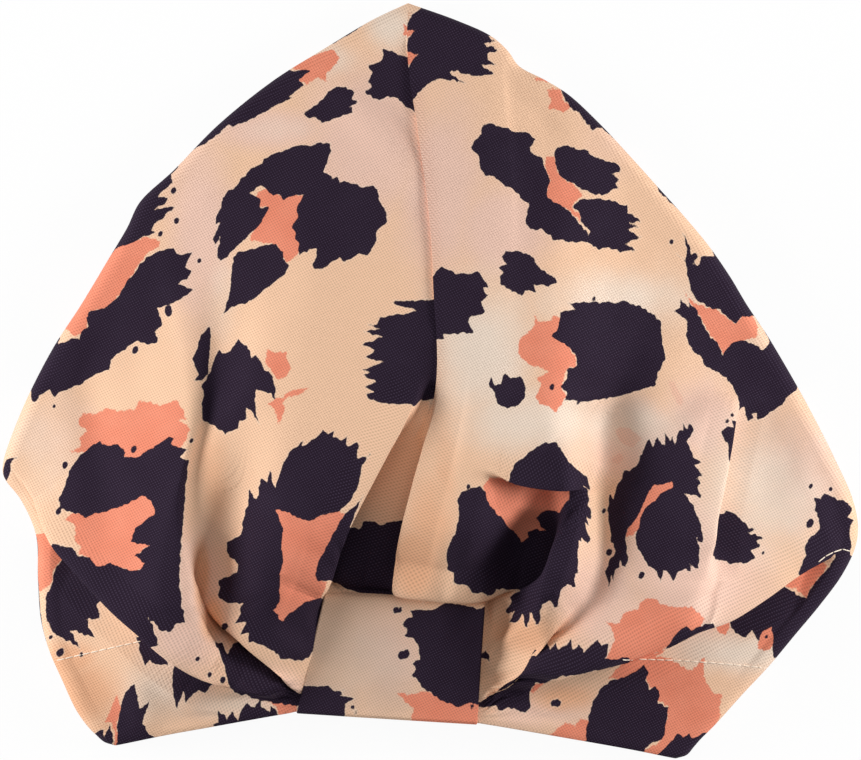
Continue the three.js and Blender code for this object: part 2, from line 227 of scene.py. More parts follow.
LEFT = Side(
    sign=-1,
    outline=[
        (113, 745), (104, 742), (96, 735), (88, 727), (76, 710), (62, 680), (49, 650), (41, 620), (38, 580),
        (36, 535), (21, 500), (4, 477), (3, 464), (22, 410), (52, 350), (81, 305), (108, 260), (127, 228),
        (140, 202), (174, 170), (218, 125), (274, 80), (322, 50), (372, 20), APEX,
    ],
    rays=[
        Ray(0, (0, 0), [(230, 722), (170, 733)], 0, 0, 0.9),
        Ray(0.1, (0, 0.12), [(225, 687), (172, 668), (135, 635), (90, 595)], 0.245, 0.3, 0.9),
        Ray(0.25, (0, 0.3), [(250, 660), (200, 592), (188, 494), (206, 400), (199, 297)], 0.676, 0.7, 0.8),
        Ray(0.5, (0, 1), [(297, 480), (302, 380), (310, 250)], 0.833, 0.9, 0.65),
        Ray(0.65, (0.1, 1), [(365, 495), (415, 410), (424, 330), (417, 215), (398, 110)], 0.955, 0.95, 0.65),
        Ray(0.8, (SEAM_ON_LOOP, 1), SEAM, 1, 1, 0.65),
    ],
    folds={
        "drape": Fold([
            (27, 504, 0.1), (42, 524, 0.7), (58, 546, 1), (78, 568, 1), (100, 592, 1), (119, 611, 1),
            (139, 628, 1), (170, 656, 0.9), (203, 677, 0.8), (233, 686, 0.8), (262, 696, 0.5),
            (303, 705, 0.1),
        ], high=1, rise=4, dip=2, reach=(26, 12), over=5.5, radius=10),
        "lobe": Fold([
            (208, 480, 0), (202, 530, 0.12), (197, 555, 0.5), (196, 580, 1), (198.5, 600, 1), (203, 615, 1),
            (210, 630, 0.9), (218, 641, 0.5), (228, 652, 0.1),
        ], high=-1, rise=4, dip=4, reach=(20, 16), over=3.4, radius=11),
        "under_lobe": Fold([
            (207, 591, 0.4), (227, 618, 1), (245, 640, 1), (275, 666, 1), (288, 680, 0.7), (300, 690, 0.2),
        ], high=1, rise=4, dip=5, reach=(22, 12), over=4, radius=7),
        "strip": Fold([
            (424, 376, 0.1), (412, 402, 0.8), (397, 430, 1), (386, 450, 1), (368, 484, 1), (350, 519, 1),
            (339, 546, 1), (327, 588, 0.8), (322, 600, 0.4),
        ], high=-1, rise=5, dip=5, reach=(26, 16), over=5.5, radius=10),
    },
    pleats=[
        (0, 0), (0.9, 0), (1, 0.65), (1.2, 0.95), (1.55, 1), (1.85, 0.85), (1.97, 0.6), (2.05, 0.1),
        (2.25, 0.3), (2.5, 0.65), (3, 0.8), (3.5, 0.75), (3.85, 0.7), (4, 0.65, 0.2), (4.4, 0.6, 0.2),
        (4.8, 0.55, 0.16), (5, 0.5),
    ],
    ridges=[
        Ridge([
            (240, 425, 0.3), (243, 470, 0.6), (236, 515, 1.1), (224, 550, 1.1), (208, 580, 1), (208, 602, 1),
            (217, 622, 1), (230, 642, 0.8), (250, 662, 0.3),
        ], -8, 9),
        Ridge([
            (190, 165, 0.3), (215, 250, 0.5), (205, 330, 0.8), (195, 400, 1), (186, 460, 1), (178, 600, 0.8),
        ], 3, 14),
        Ridge([(80, 330, 0.3), (92, 400, 0.8), (105, 475, 1), (105, 525, 0.6)], -2, 8),
        Ridge([(330, 70, 0.3), (355, 105, 1), (390, 145, 1), (425, 190, 0.6)], 2.5, 7),
        Ridge([(395, 110, 0.5), (410, 140, 1), (420, 165, 0.5)], -1.5, 5),
        Ridge([(82, 655, 0.5), (97, 690, 1), (112, 722, 0.6)], -1.2, 9),
        Ridge([(130, 650, 0.5), (139, 690, 1), (146, 730, 0.7)], 1.6, 6),
    ],
    dark=[
        Blotch([
            (196, 150), (215, 140), (227, 128), (247, 122), (265, 112), (282, 103), (294, 97), (288, 97),
            (303, 86), (300, 80), (311, 70), (292, 73), (265, 55), (225, 75), (195, 105), (170, 135),
        ]),
        Blotch([(333, 45), (345, 38), (355, 33), (363, 27), (350, 5), (325, 25)]),
        Blotch([
            (303, 114), (318, 104), (325, 97), (333, 89), (345, 87), (355, 93), (352, 99), (358, 103),
            (350, 107), (354, 113), (340, 118), (322, 123), (318, 118), (308, 119),
        ]),
        Blotch([
            (330, 144), (332, 151), (327, 164), (324, 173), (330, 176), (333, 180), (338, 177), (340, 184),
            (344, 182), (358, 185), (361, 189), (368, 186), (378, 189), (379, 200), (383, 207), (388, 215),
            (386, 224), (377, 232), (377, 242), (371, 252), (367, 256), (359, 254), (344, 264), (341, 258),
            (335, 261), (325, 268), (319, 270), (313, 266), (317, 256), (317, 250), (310, 250), (301, 255),
            (298, 251), (300, 243), (296, 239), (297, 233), (292, 230), (293, 226), (299, 218), (297, 207),
            (304, 196), (289, 197), (284, 202), (281, 195), (274, 196), (270, 194), (262, 185), (250, 193),
            (258, 197), (261, 201), (260, 208), (269, 207), (268, 212), (262, 223), (254, 232), (237, 247),
            (228, 257), (221, 262), (218, 258), (218, 251), (221, 235), (216, 247), (214, 239), (221, 223),
            (216, 226), (217, 217), (221, 209), (223, 199), (228, 192), (237, 187), (241, 180), (253, 168),
            (263, 163), (265, 159), (278, 153), (295, 147), (306, 145), (311, 147), (318, 143),
        ]),
        Blotch([
            (222, 317), (228, 303), (231, 290), (233, 270), (234, 258), (240, 252), (252, 250), (262, 246),
            (277, 245), (284, 252), (284, 260), (290, 266), (285, 275), (275, 283), (262, 294), (248, 303),
            (238, 306), (230, 309),
        ]),
        Blotch([
            (180, 168), (172, 176), (174, 184), (165, 190), (158, 198), (168, 198), (165, 204), (154, 210),
            (163, 209), (177, 206), (170, 212), (163, 219), (155, 224), (152, 231), (157, 233), (148, 236),
            (140, 239), (128, 246), (116, 250), (106, 260), (70, 245), (95, 205), (120, 175), (150, 150),
        ]),
        Blotch([
            (193, 253), (180, 255), (173, 248), (160, 251), (148, 257), (140, 265), (136, 273), (128, 281),
            (120, 296), (112, 303), (105, 308), (92, 311), (87, 318), (89, 327), (81, 332), (80, 340),
            (74, 338), (66, 343), (60, 346), (61, 338), (30, 325), (5, 355), (0, 392), (24, 390), (31, 388),
            (36, 405), (40, 396), (50, 390), (54, 398), (60, 392), (72, 388), (80, 385), (90, 378),
            (100, 372), (110, 370), (112, 360), (118, 354), (126, 350), (132, 344), (140, 341), (148, 345),
            (158, 343), (160, 337), (155, 332), (163, 325), (160, 315), (158, 308), (168, 306), (178, 301),
            (195, 290), (188, 288), (178, 284), (188, 280), (192, 272), (186, 268), (190, 258),
        ]),
        Blotch([
            (211, 327), (202, 335), (199, 348), (193, 360), (198, 370), (200, 376), (195, 381), (203, 380),
            (209, 374), (211, 350), (212, 335),
        ]),
        Blotch([
            (240, 340), (232, 350), (226, 354), (220, 350), (216, 358), (212, 370), (208, 379), (203, 385),
            (205, 395), (203, 410), (204, 420), (215, 425), (222, 430), (227, 434), (232, 430), (240, 428),
            (241, 420), (248, 418), (247, 408), (252, 410), (260, 423), (257, 410), (256, 400), (258, 390),
            (265, 392), (272, 394), (277, 400), (276, 385), (273, 375), (270, 370), (266, 370), (262, 362),
            (257, 355), (253, 358), (250, 350), (245, 342),
        ]),
        Blotch([
            (62, 509), (60, 497), (66, 486), (70, 471), (79, 458), (89, 448), (100, 441), (108, 445),
            (119, 443), (127, 452), (126, 457), (138, 457), (152, 449), (162, 442), (170, 437), (176, 438),
            (172, 444), (189, 449), (181, 456), (190, 460), (188, 485), (184, 530), (181, 575), (184, 605),
            (187, 621), (179, 621), (172, 630), (163, 629), (151, 616), (161, 643), (146, 648), (118, 640),
            (92, 622), (68, 600), (46, 570), (54, 542), (75, 547), (80, 554), (92, 557), (97, 566),
            (112, 562), (130, 569), (141, 569), (146, 563), (137, 554), (152, 544), (132, 541), (137, 528),
            (150, 517), (157, 513), (153, 500), (145, 495), (128, 504), (110, 510), (97, 513), (88, 517),
            (75, 511),
        ], "drape", HIGH),
        Blotch([
            (64, 556), (54, 572), (53, 583), (48, 592), (47, 610), (49, 624), (56, 634), (80, 647),
            (71, 630), (95, 637), (87, 619), (100, 619), (100, 612), (97, 604), (110, 595), (85, 570),
        ], "drape", LOW),
        Blotch([(18, 456), (9, 460), (5, 468), (3, 476), (8, 480), (13, 472), (12, 464)]),
        Blotch([
            (20, 538), (38, 537), (39, 548), (38, 566), (41, 600), (43, 625), (47, 641), (30, 640),
        ], "drape", LOW),
        Blotch([
            (137, 636), (141, 652), (146, 664), (150, 659), (156, 664), (170, 664), (155, 640),
        ], "drape", LOW),
        Blotch([
            (175, 664), (173, 685), (177, 709), (184, 690), (187, 701), (195, 692), (200, 688), (205, 693),
            (213, 683), (215, 676), (190, 672),
        ], "drape", LOW),
        Blotch([
            (214, 723), (214, 750), (277, 745), (277, 718), (276, 708), (271, 706), (270, 712), (262, 705),
            (260, 698), (254, 707), (248, 702), (240, 713), (238, 720), (232, 710), (228, 718), (224, 713),
            (218, 711), (219, 722),
        ]),
        Blotch([(94, 734), (103, 729), (105, 737), (110, 724), (113, 736), (116, 760), (85, 755)]),
        Blotch([
            (118, 742), (118, 722), (121, 705), (126, 692), (131, 685), (136, 683), (138, 695), (140, 708),
            (144, 706), (150, 699), (146, 712), (143, 723), (147, 730), (154, 737), (150, 765), (118, 765),
        ]),
        Blotch([
            (216, 641), (222, 655), (226, 668), (229, 680), (233, 690), (262, 700), (304, 706), (306, 685),
            (290, 675), (270, 655), (245, 636), (234, 643), (229, 652), (222, 641),
        ], "under_lobe", LOW),
        Blotch([
            (305, 440), (303, 447), (320, 434), (325, 429), (328, 435), (335, 429), (334, 437), (343, 440),
            (347, 437), (347, 446), (361, 441), (355, 460), (371, 453), (362, 466), (361, 478), (352, 499),
            (338, 511), (324, 513), (311, 520), (298, 517), (290, 512), (276, 508), (284, 526), (283, 548),
            (285, 560), (281, 572), (281, 600), (275, 608), (283, 621), (291, 611), (305, 601), (322, 596),
            (330, 600), (320, 640), (309, 656), (300, 660), (282, 657), (276, 650), (262, 643), (250, 640),
            (250, 632), (242, 632), (248, 620), (236, 622), (242, 612), (240, 606), (245, 602), (229, 602),
            (218, 594), (221, 587), (219, 579), (238, 572), (239, 562), (228, 553), (228, 541), (243, 533),
            (244, 517), (250, 502), (250, 489), (258, 499), (262, 478), (268, 481), (271, 470), (276, 488),
            (282, 470), (290, 452),
        ], "under_lobe", HIGH),
        Blotch([
            (364, 494), (357, 503), (346, 512), (336, 528), (327, 546), (319, 562), (316, 573), (319, 581),
            (332, 578), (345, 588), (362, 592), (385, 598), (405, 598), (407, 565), (410, 535), (412, 517),
            (396, 521), (380, 524), (372, 520), (363, 521), (361, 530), (351, 525), (356, 512),
        ]),
        Blotch([
            (445, 300), (415, 301), (395, 301), (394, 304), (402, 308), (413, 308), (416, 312), (400, 315),
            (390, 316), (379, 319), (378, 325), (368, 325), (380, 329), (364, 332), (383, 337), (362, 345),
            (375, 350), (366, 358), (385, 362), (363, 370), (372, 373), (363, 376), (378, 381), (366, 387),
            (375, 392), (367, 394), (370, 399), (385, 403), (415, 405), (420, 400), (445, 400),
        ]),
        Blotch([
            (382, 50), (392, 52), (405, 57), (420, 66), (422, 115), (415, 112), (408, 108), (400, 102),
            (395, 97), (388, 97), (380, 101), (372, 98), (365, 92), (372, 88), (369, 80), (372, 74),
            (368, 65), (380, 63), (383, 60),
        ]),
    ],
    coral=[
        Blotch([
            (287, 71), (300, 62), (318, 55), (334, 51), (340, 58), (335, 66), (325, 75), (328, 82),
            (318, 78), (307, 85), (298, 80), (300, 72), (270, 60), (300, 35), (318, 50),
        ]),
        Blotch([
            (259, 191), (266, 189), (276, 194), (284, 198), (291, 195), (304, 197), (300, 207), (301, 218),
            (296, 230), (299, 236), (303, 243), (301, 251), (295, 259), (288, 263), (283, 257), (279, 246),
            (251, 241), (254, 231), (262, 221), (267, 212), (266, 205), (260, 208), (258, 197),
        ]),
        Blotch([
            (108, 254), (128, 243), (148, 237), (160, 241), (160, 247), (148, 253), (136, 270), (120, 295),
            (108, 308), (92, 311), (88, 320), (88, 329), (76, 337), (68, 330), (35, 310), (55, 270),
            (80, 245),
        ]),
        Blotch([
            (268, 350), (275, 352), (287, 352), (289, 362), (293, 366), (288, 375), (283, 380), (277, 378),
            (272, 368), (266, 362),
        ]),
        Blotch([
            (277, 398), (283, 398), (290, 392), (300, 388), (310, 389), (302, 394), (290, 397), (284, 402),
            (286, 412), (280, 424), (276, 410), (270, 404),
        ]),
        Blotch([
            (80, 418), (85, 413), (98, 414), (105, 408), (122, 411), (136, 409), (140, 400), (150, 402),
            (162, 405), (178, 400), (183, 408), (188, 418), (180, 420), (192, 428), (188, 438), (182, 448),
            (172, 450), (150, 458), (135, 460), (105, 450), (95, 446), (85, 452), (70, 452), (82, 446),
            (80, 438), (88, 430), (80, 424),
        ]),
        Blotch([
            (66, 519), (75, 512), (90, 514), (112, 508), (127, 502), (140, 494), (150, 494), (156, 505),
            (158, 516), (145, 522), (138, 532), (135, 540), (154, 543), (142, 551), (140, 556), (148, 563),
            (138, 571), (115, 565), (95, 567), (88, 556), (80, 552), (83, 546), (76, 540), (77, 525),
            (70, 520),
        ], "drape", HIGH),
        Blotch([
            (26, 505), (44, 520), (64, 553), (60, 562), (54, 570), (52, 582), (44, 591), (25, 590),
            (20, 545),
        ], "drape", LOW),
        Blotch([(262, 697), (275, 699), (287, 701), (300, 700), (296, 712), (277, 718), (278, 706)]),
        Blotch([
            (118, 694), (111, 708), (106, 722), (112, 723), (116, 735), (115, 760), (121, 760), (117, 725),
            (121, 708),
        ]),
        Blotch([
            (272, 505), (290, 510), (312, 517), (338, 509), (346, 512), (340, 522), (328, 547), (318, 570),
            (322, 580), (328, 580), (325, 590), (318, 602), (295, 612), (283, 624), (274, 608), (279, 598),
            (278, 575), (283, 545), (281, 525), (274, 513),
        ]),
        Blotch([(404, 25), (415, 30), (404, 36)]),
    ],
    dots=[
        (174, 191, 2.6), (177, 221, 2.5), (161, 234, 2.2), (169, 310, 3.5), (170, 313, 3), (136, 350, 3),
        (55, 406, 1.5), (135, 449, 2.8), (66, 465, 2.8), (60, 511, 2.7), (193, 440, 1.8), (61, 652, 3.2),
        (82, 654, 2), (199, 657, 2), (211, 673, 2.2), (224, 678, 2.6), (226, 625, 3), (52, 637, 1.6),
        (200, 261, 2), (298, 452, 1.5),
    ],
)

RIGHT = Side(
    sign=1,
    outline=[
        (678, 758), (687, 755), (694, 747), (701, 739), (715, 725), (742, 695), (770, 665), (795, 635),
        (820, 605), (842, 575), (855, 548), (858, 528), (853, 500), (833, 455), (818, 425), (802, 395),
        (785, 365), (767, 335), (747, 305), (729, 275), (708, 245), (683, 215), (656, 185), (629, 155),
        (601, 125), (569, 95), (545, 80), (519, 66), (508, 51), (491, 36), (456, 20), APEX,
    ],
    rays=[
        Ray(0, (1, 0), [(560, 735), (640, 750)], 0, 0, 0.9),
        Ray(0.08, (1, 0.1), [(545, 687), (615, 657), (700, 625), (795, 570)], 0.296, 0.3, 0.9),
        Ray(0.16, (1, 0.22), [(560, 666), (640, 632), (700, 590), (725, 475), (740, 420)], 0.468, 0.5, 0.85),
        Ray(0.28, (1, 0.4), [(550, 640), (595, 585), (604, 450), (625, 370), (662, 290)], 0.634, 0.7, 0.8),
        Ray(0.6, (1, 1), [(511, 547), (533, 456), (537, 343), (550, 214)], 0.83, 0.95, 0.75),
        Ray(0.8, (SEAM_ON_LOOP, 1), SEAM, 1, 1, 0.65),
    ],
    folds={
        "over_loop": Fold([
            (390, 587, 0.5), (410, 592, 1), (440, 597, 1), (480, 597, 1), (500, 592, 0.8), (528, 584, 0.3),
            (545, 575, 0),
        ], high=1, rise=4, dip=3, reach=(22, 10), over=5.5, radius=10),
        "pocket_lip": Fold([
            (462, 472, 0), (490, 475, 0.25), (512, 479, 0.8), (540, 482, 1), (565, 484, 1), (585, 488, 0.6),
            (600, 500, 0),
        ], high=1, rise=3.5, dip=5.5, reach=(14, 20), over=6, radius=9),
        "finger": Fold([
            (566, 500, 0), (558, 522, 0.5), (552, 545, 1), (542, 572, 1), (529, 587, 0.8), (514, 598, 0.2),
        ], high=1, rise=2.5, dip=3, reach=(9, 10), over=2.6, radius=6),
        "lobe": Fold([
            (740, 395, 0), (735, 418, 0.7), (726, 460, 1), (719, 495, 1), (714, 518, 1), (712, 542, 0.9),
            (711, 560, 0.4), (710, 580, 0),
        ], high=-1, rise=2.5, dip=2, reach=(18, 20), over=4.5, radius=9),
        "drape": Fold([
            (868, 543, 0.1), (850, 549, 0.6), (825, 557, 0.9), (797, 571, 1), (760, 597, 1), (727, 617, 1),
            (695, 628, 1), (665, 643, 1), (625, 657, 1), (570, 671, 1), (525, 688, 0.6), (490, 699, 0.15),
        ], high=-1, rise=4, dip=3, reach=(26, 14), over=5.5, radius=10),
        "diagonal": Fold([
            (480, 701, 0.1), (492, 691, 0.4), (506, 679, 0.8), (522, 663, 1), (540, 645, 0.9),
            (560, 626, 0.4), (578, 609, 0.12), (595, 590, 0),
        ], high=1, rise=4, dip=3, reach=(16, 12), over=5, radius=9),
    },
    pleats=[
        (0, 0), (0.9, 0), (1, 0.6), (1.4, 0.7), (1.9, 0.4), (2, 0.85), (2.3, 1), (2.7, 0.85), (2.9, 0.55),
        (3, 0.35), (3.15, 0.6), (3.4, 0.8), (3.5, 0.8, 0.1), (3.6, 0.8, 0.18), (3.85, 0.75, 0.18),
        (4, 0.7, 0.14), (4.15, 0.7, 0.06), (4.3, 0.75), (4.6, 0.9), (4.85, 0.75), (5, 0.5),
    ],
    ridges=[
        Ridge([
            (594, 395, 0.4), (598, 420, 0.9), (604, 446, 1), (600, 475, 1), (595, 505, 0.9), (590, 540, 0.5),
            (584, 570, 0.2), (576, 600, 0),
        ], -7.5, 10),
        Ridge([(441, 345, 0.4), (446, 395, 1), (442, 450, 0.8), (430, 510, 0.6), (418, 560, 0.8)], -6, 7),
        Ridge([(500, 660, 0.6), (508, 640, 1), (535, 622, 0.8), (562, 606, 0.5)], -4, 9),
        Ridge([(512, 592, 0.5), (516, 575, 1), (521, 555, 1), (534, 530, 0.6)], -11, 8),
        Ridge([(468, 586, 0.4), (467, 550, 1), (478, 512, 0.8), (497, 482, 0.2)], 3, 8),
        Ridge([
            (548, 446, 0.6), (574, 468, 1), (578, 505, 1), (569, 550, 1), (550, 590, 0.8), (528, 612, 0.4),
        ], 6, 6.5),
        Ridge([(700, 400, 0.3), (670, 450, 0.8), (655, 520, 1), (650, 580, 0.8)], 2, 18),
        Ridge([(497, 40, 0.8), (517, 66, 1), (540, 100, 0.7), (560, 150, 0.3)], -2, 6),
        Ridge([(495, 601, 1), (504, 637, 1), (497, 672, 0.8)], -8, 8),
        Ridge([(530, 415, 0.5), (512, 440, 1), (505, 465, 0.6)], 2, 7),
        Ridge([(680, 435, 0.4), (715, 412, 1), (737, 413, 0.8)], 2.5, 6),
    ],
    dark=[
        Blotch([
            (420, 10), (435, -20), (480, -10), (515, 15), (491, 36), (487, 38), (496, 43), (481, 44),
            (499, 51), (487, 54), (488, 60), (497, 65), (482, 65), (494, 74), (480, 77), (465, 75),
            (452, 71), (449, 73), (458, 80), (466, 84), (452, 81), (437, 79), (428, 85), (418, 94),
            (412, 102), (402, 96), (409, 66), (418, 54), (405, 51), (409, 38), (416, 31), (404, 30),
            (409, 20), (413, 15),
        ]),
        Blotch([
            (481, 135), (482, 128), (490, 123), (497, 127), (508, 128), (513, 133), (527, 133), (535, 140),
            (530, 148), (533, 155), (543, 158), (542, 165), (548, 175), (550, 182), (546, 190), (548, 200),
            (556, 203), (540, 208), (530, 206), (520, 198), (515, 191), (503, 186), (495, 178), (485, 176),
            (480, 170), (479, 158), (470, 148), (474, 142),
        ]),
        Blotch([
            (530, 204), (526, 213), (525, 222), (528, 229), (542, 231), (552, 240), (575, 243), (592, 243),
            (588, 234), (582, 229), (575, 218), (565, 209), (556, 203),
        ]),
        Blotch([
            (571, 208), (580, 200), (598, 199), (615, 201), (618, 204), (627, 207), (627, 213), (637, 218),
            (641, 222), (627, 223), (639, 228), (627, 229), (630, 232), (641, 237), (632, 241), (624, 244),
            (636, 250), (620, 252), (605, 248), (598, 250), (586, 243), (589, 232), (580, 222), (579, 213),
        ]),
        Blotch([
            (553, 153), (557, 148), (570, 147), (582, 150), (592, 155), (600, 160), (615, 164), (621, 166),
            (620, 172), (611, 174), (615, 178), (620, 180), (615, 184), (619, 188), (612, 190), (602, 196),
            (590, 193), (578, 188), (565, 180), (558, 175), (556, 165),
        ]),
        Blotch([
            (560, 90), (562, 97), (565, 102), (572, 112), (578, 113), (586, 125), (592, 131), (600, 129),
            (605, 133), (615, 140), (650, 120), (600, 75),
        ]),
        Blotch([(657, 187), (657, 193), (668, 203), (679, 210), (710, 195), (680, 165)]),
        Blotch([(682, 233), (686, 240), (690, 250), (694, 264), (687, 262), (686, 250)]),
        Blotch([
            (677, 253), (685, 262), (687, 275), (690, 288), (697, 301), (712, 309), (720, 310), (727, 318),
            (735, 324), (742, 316), (748, 318), (754, 315), (760, 325), (800, 320), (770, 260), (735, 225),
            (711, 249), (712, 258), (701, 256), (700, 262), (697, 267), (690, 262), (687, 252), (684, 262),
        ]),
        Blotch([
            (672, 311), (680, 309), (679, 300), (690, 309), (688, 302), (696, 309), (700, 320), (710, 337),
            (717, 343), (721, 354), (728, 365), (726, 378), (715, 371), (705, 366), (698, 355), (692, 350),
            (686, 340), (686, 330), (687, 322), (683, 318),
        ]),
        Blotch([
            (724, 376), (732, 386), (737, 398), (738, 410), (743, 407), (747, 421), (753, 419), (751, 413),
            (756, 412), (757, 420), (767, 415), (775, 408), (782, 405), (786, 397), (793, 392), (797, 387),
            (840, 375), (800, 300), (762, 322), (766, 335), (768, 345), (762, 350), (755, 346), (742, 340),
            (730, 343), (722, 355), (726, 365),
        ]),
        Blotch([
            (567, 303), (600, 302), (625, 302), (645, 309), (657, 319), (661, 321), (660, 333), (663, 345),
            (664, 360), (657, 372), (655, 385), (630, 393), (603, 399), (580, 402), (574, 406), (577, 400),
            (563, 401), (567, 393), (559, 387), (566, 378), (566, 369), (577, 366), (576, 357), (568, 347),
            (558, 342), (550, 336), (558, 328), (559, 313), (575, 310),
        ]),
        Blotch([
            (490, 376), (495, 385), (500, 384), (504, 373), (510, 378), (520, 376), (525, 387), (524, 398),
            (518, 405), (507, 408), (497, 404), (494, 394), (489, 386),
        ]),
        Blotch([
            (505, 252), (515, 252), (525, 254), (533, 258), (537, 268), (545, 272), (553, 278), (557, 283),
            (548, 287), (532, 285), (537, 293), (525, 291), (521, 296), (510, 291), (500, 285), (499, 278),
            (503, 273), (497, 269), (506, 265), (501, 259),
        ]),
        Blotch([
            (425, 300), (428, 285), (436, 273), (441, 268), (452, 271), (456, 275), (468, 274), (478, 273),
            (484, 280), (489, 287), (482, 290), (487, 297), (480, 303), (485, 312), (470, 318), (468, 322),
            (473, 333), (450, 334), (443, 334), (444, 339), (425, 341),
        ]),
        Blotch([
            (509, 476), (512, 465), (523, 456), (536, 447), (546, 442), (553, 442), (558, 446), (561, 452),
            (571, 465), (581, 472), (587, 478), (589, 485), (588, 502), (560, 502), (540, 497), (520, 492),
            (508, 485),
        ], "pocket_lip", HIGH),
        Blotch([
            (588, 490), (587, 503), (591, 511), (590, 518), (585, 516), (589, 524), (583, 521), (589, 539),
            (587, 542), (580, 536), (581, 541), (578, 539), (576, 548), (577, 571), (574, 572), (574, 586),
            (571, 586), (566, 583), (561, 587), (558, 596), (557, 605), (553, 605), (549, 599), (541, 602),
            (538, 623), (535, 623), (531, 611), (529, 610), (527, 626), (524, 626), (523, 612), (516, 621),
            (509, 622), (515, 609), (508, 613), (505, 611), (512, 601), (509, 596), (520, 589), (496, 588),
            (490, 594), (487, 596), (483, 591), (472, 593), (470, 587), (465, 584), (454, 582), (454, 572),
            (448, 569), (446, 559), (446, 552), (450, 541), (456, 529), (459, 513), (457, 499), (461, 491),
            (480, 485), (485, 493), (489, 504), (496, 511), (503, 518), (505, 524), (513, 530), (516, 534),
            (521, 540), (528, 538), (527, 531), (536, 529), (545, 530), (538, 523), (536, 517), (541, 511),
            (549, 509), (556, 510), (558, 513), (563, 503), (568, 499), (568, 488), (575, 480),
        ], "pocket_lip", LOW),
        Blotch([
            (691, 425), (692, 431), (685, 441), (690, 450), (692, 457), (703, 461), (692, 464), (697, 469),
            (702, 475), (695, 478), (699, 484), (696, 486), (700, 498), (694, 495), (683, 493), (672, 490),
            (671, 482), (651, 485), (645, 497), (636, 516), (626, 529), (624, 537), (625, 547), (627, 556),
            (624, 566), (621, 564), (619, 557), (618, 566), (613, 569), (612, 579), (610, 574), (608, 585),
            (604, 570), (607, 562), (615, 549), (611, 541), (607, 522), (607, 507), (609, 493), (612, 499),
            (616, 484), (621, 479), (623, 469), (628, 471), (638, 463), (638, 454), (641, 454), (645, 442),
            (648, 439), (652, 447), (656, 436), (660, 445), (664, 445), (663, 432), (669, 441), (671, 436),
            (674, 444), (677, 431), (682, 431), (681, 423), (686, 429), (688, 424),
        ]),
        Blotch([
            (672, 487), (681, 490), (689, 501), (695, 512), (699, 524), (701, 533), (701, 542), (697, 540),
            (695, 536), (698, 551), (696, 567), (693, 568), (688, 561), (690, 571), (685, 568), (676, 570),
            (672, 580), (667, 572), (662, 568), (659, 580), (655, 569), (647, 565), (639, 552), (634, 541),
            (636, 530), (639, 517), (642, 510), (647, 504), (653, 501), (657, 495), (663, 490),
        ]),
        Blotch([
            (705, 512), (722, 513), (725, 509), (735, 514), (743, 522), (747, 527), (754, 529), (747, 532),
            (763, 538), (755, 540), (757, 545), (750, 550), (754, 558), (743, 563), (730, 562), (715, 558),
            (700, 545),
        ], "lobe", LOW),
        Blotch([
            (742, 421), (731, 421), (733, 428), (726, 426), (720, 431), (721, 437), (726, 442), (728, 462),
            (740, 440),
        ], "lobe", HIGH),
        Blotch([
            (815, 503), (813, 497), (820, 498), (823, 493), (832, 497), (840, 500), (846, 502), (850, 510),
            (846, 517), (851, 520), (848, 530), (849, 540), (848, 556), (828, 562), (800, 576), (797, 572),
            (805, 555), (803, 548), (808, 538), (818, 530), (818, 518), (813, 510),
        ], "drape", HIGH),
        Blotch([
            (722, 610), (750, 590), (775, 575), (778, 583), (790, 590), (800, 596), (806, 598), (812, 585),
            (818, 578), (828, 568), (838, 548), (870, 535), (895, 570), (850, 630), (810, 670), (776, 660),
            (771, 650), (773, 640), (771, 626), (762, 631), (758, 642), (752, 630), (745, 637), (735, 632),
            (730, 625),
        ], "drape", LOW),
        Blotch([
            (664, 648), (678, 628), (685, 625), (690, 628), (700, 624), (712, 621), (714, 630), (690, 642),
        ], "drape", HIGH),
        Blotch([
            (474, 698), (498, 678), (518, 660), (533, 647), (546, 636), (549, 648), (555, 641), (558, 648),
            (565, 643), (570, 637), (572, 648), (578, 642), (583, 650), (590, 643), (597, 637), (600, 643),
            (608, 642), (606, 652), (603, 657), (628, 656), (628, 662), (600, 668), (580, 672), (560, 675),
            (545, 682), (535, 682), (530, 690), (530, 708), (524, 712), (515, 708), (508, 707), (500, 710),
            (495, 705), (478, 706),
        ], "diagonal", LOW),
        Blotch([
            (610, 680), (625, 676), (635, 671), (643, 664), (648, 672), (645, 680), (650, 688), (655, 686),
            (660, 693), (658, 703), (668, 707), (666, 725), (662, 740), (652, 742), (645, 748), (640, 775),
            (600, 770), (596, 745), (586, 742), (586, 730), (588, 715), (593, 700), (600, 688),
        ]),
        Blotch([
            (657, 755), (665, 747), (672, 740), (678, 733), (683, 737), (688, 733), (692, 738), (697, 735),
            (704, 732), (730, 750), (700, 790), (655, 780),
        ]),
        Blotch([(476, 634), (484, 637), (486, 648), (490, 661), (484, 657), (476, 658)]),
    ],
    coral=[
        Blotch([
            (547, 157), (555, 158), (557, 172), (566, 181), (578, 189), (582, 196), (575, 203), (570, 209),
            (579, 214), (580, 222), (573, 215), (562, 207), (553, 203), (546, 199), (546, 188), (550, 182),
            (547, 172), (543, 165),
        ]),
        Blotch([
            (546, 92), (552, 90), (560, 92), (562, 100), (570, 108), (563, 113), (556, 110), (548, 108),
            (552, 100),
        ]),
        Blotch([(531, 80), (545, 78), (549, 84), (538, 82)]),
        Blotch([
            (683, 290), (690, 298), (697, 305), (715, 309), (727, 319), (735, 324), (742, 315), (752, 317),
            (756, 328), (755, 338), (740, 342), (730, 345), (723, 356), (718, 345), (710, 335), (700, 318),
            (692, 305),
        ]),
        Blotch([
            (533, 316), (540, 322), (548, 322), (553, 316), (560, 320), (557, 332), (553, 338), (565, 343),
            (575, 357), (576, 366), (565, 369), (563, 380), (560, 388), (566, 396), (560, 405), (555, 412),
            (548, 406), (540, 404), (535, 396), (540, 385), (536, 378), (549, 372), (540, 368), (528, 365),
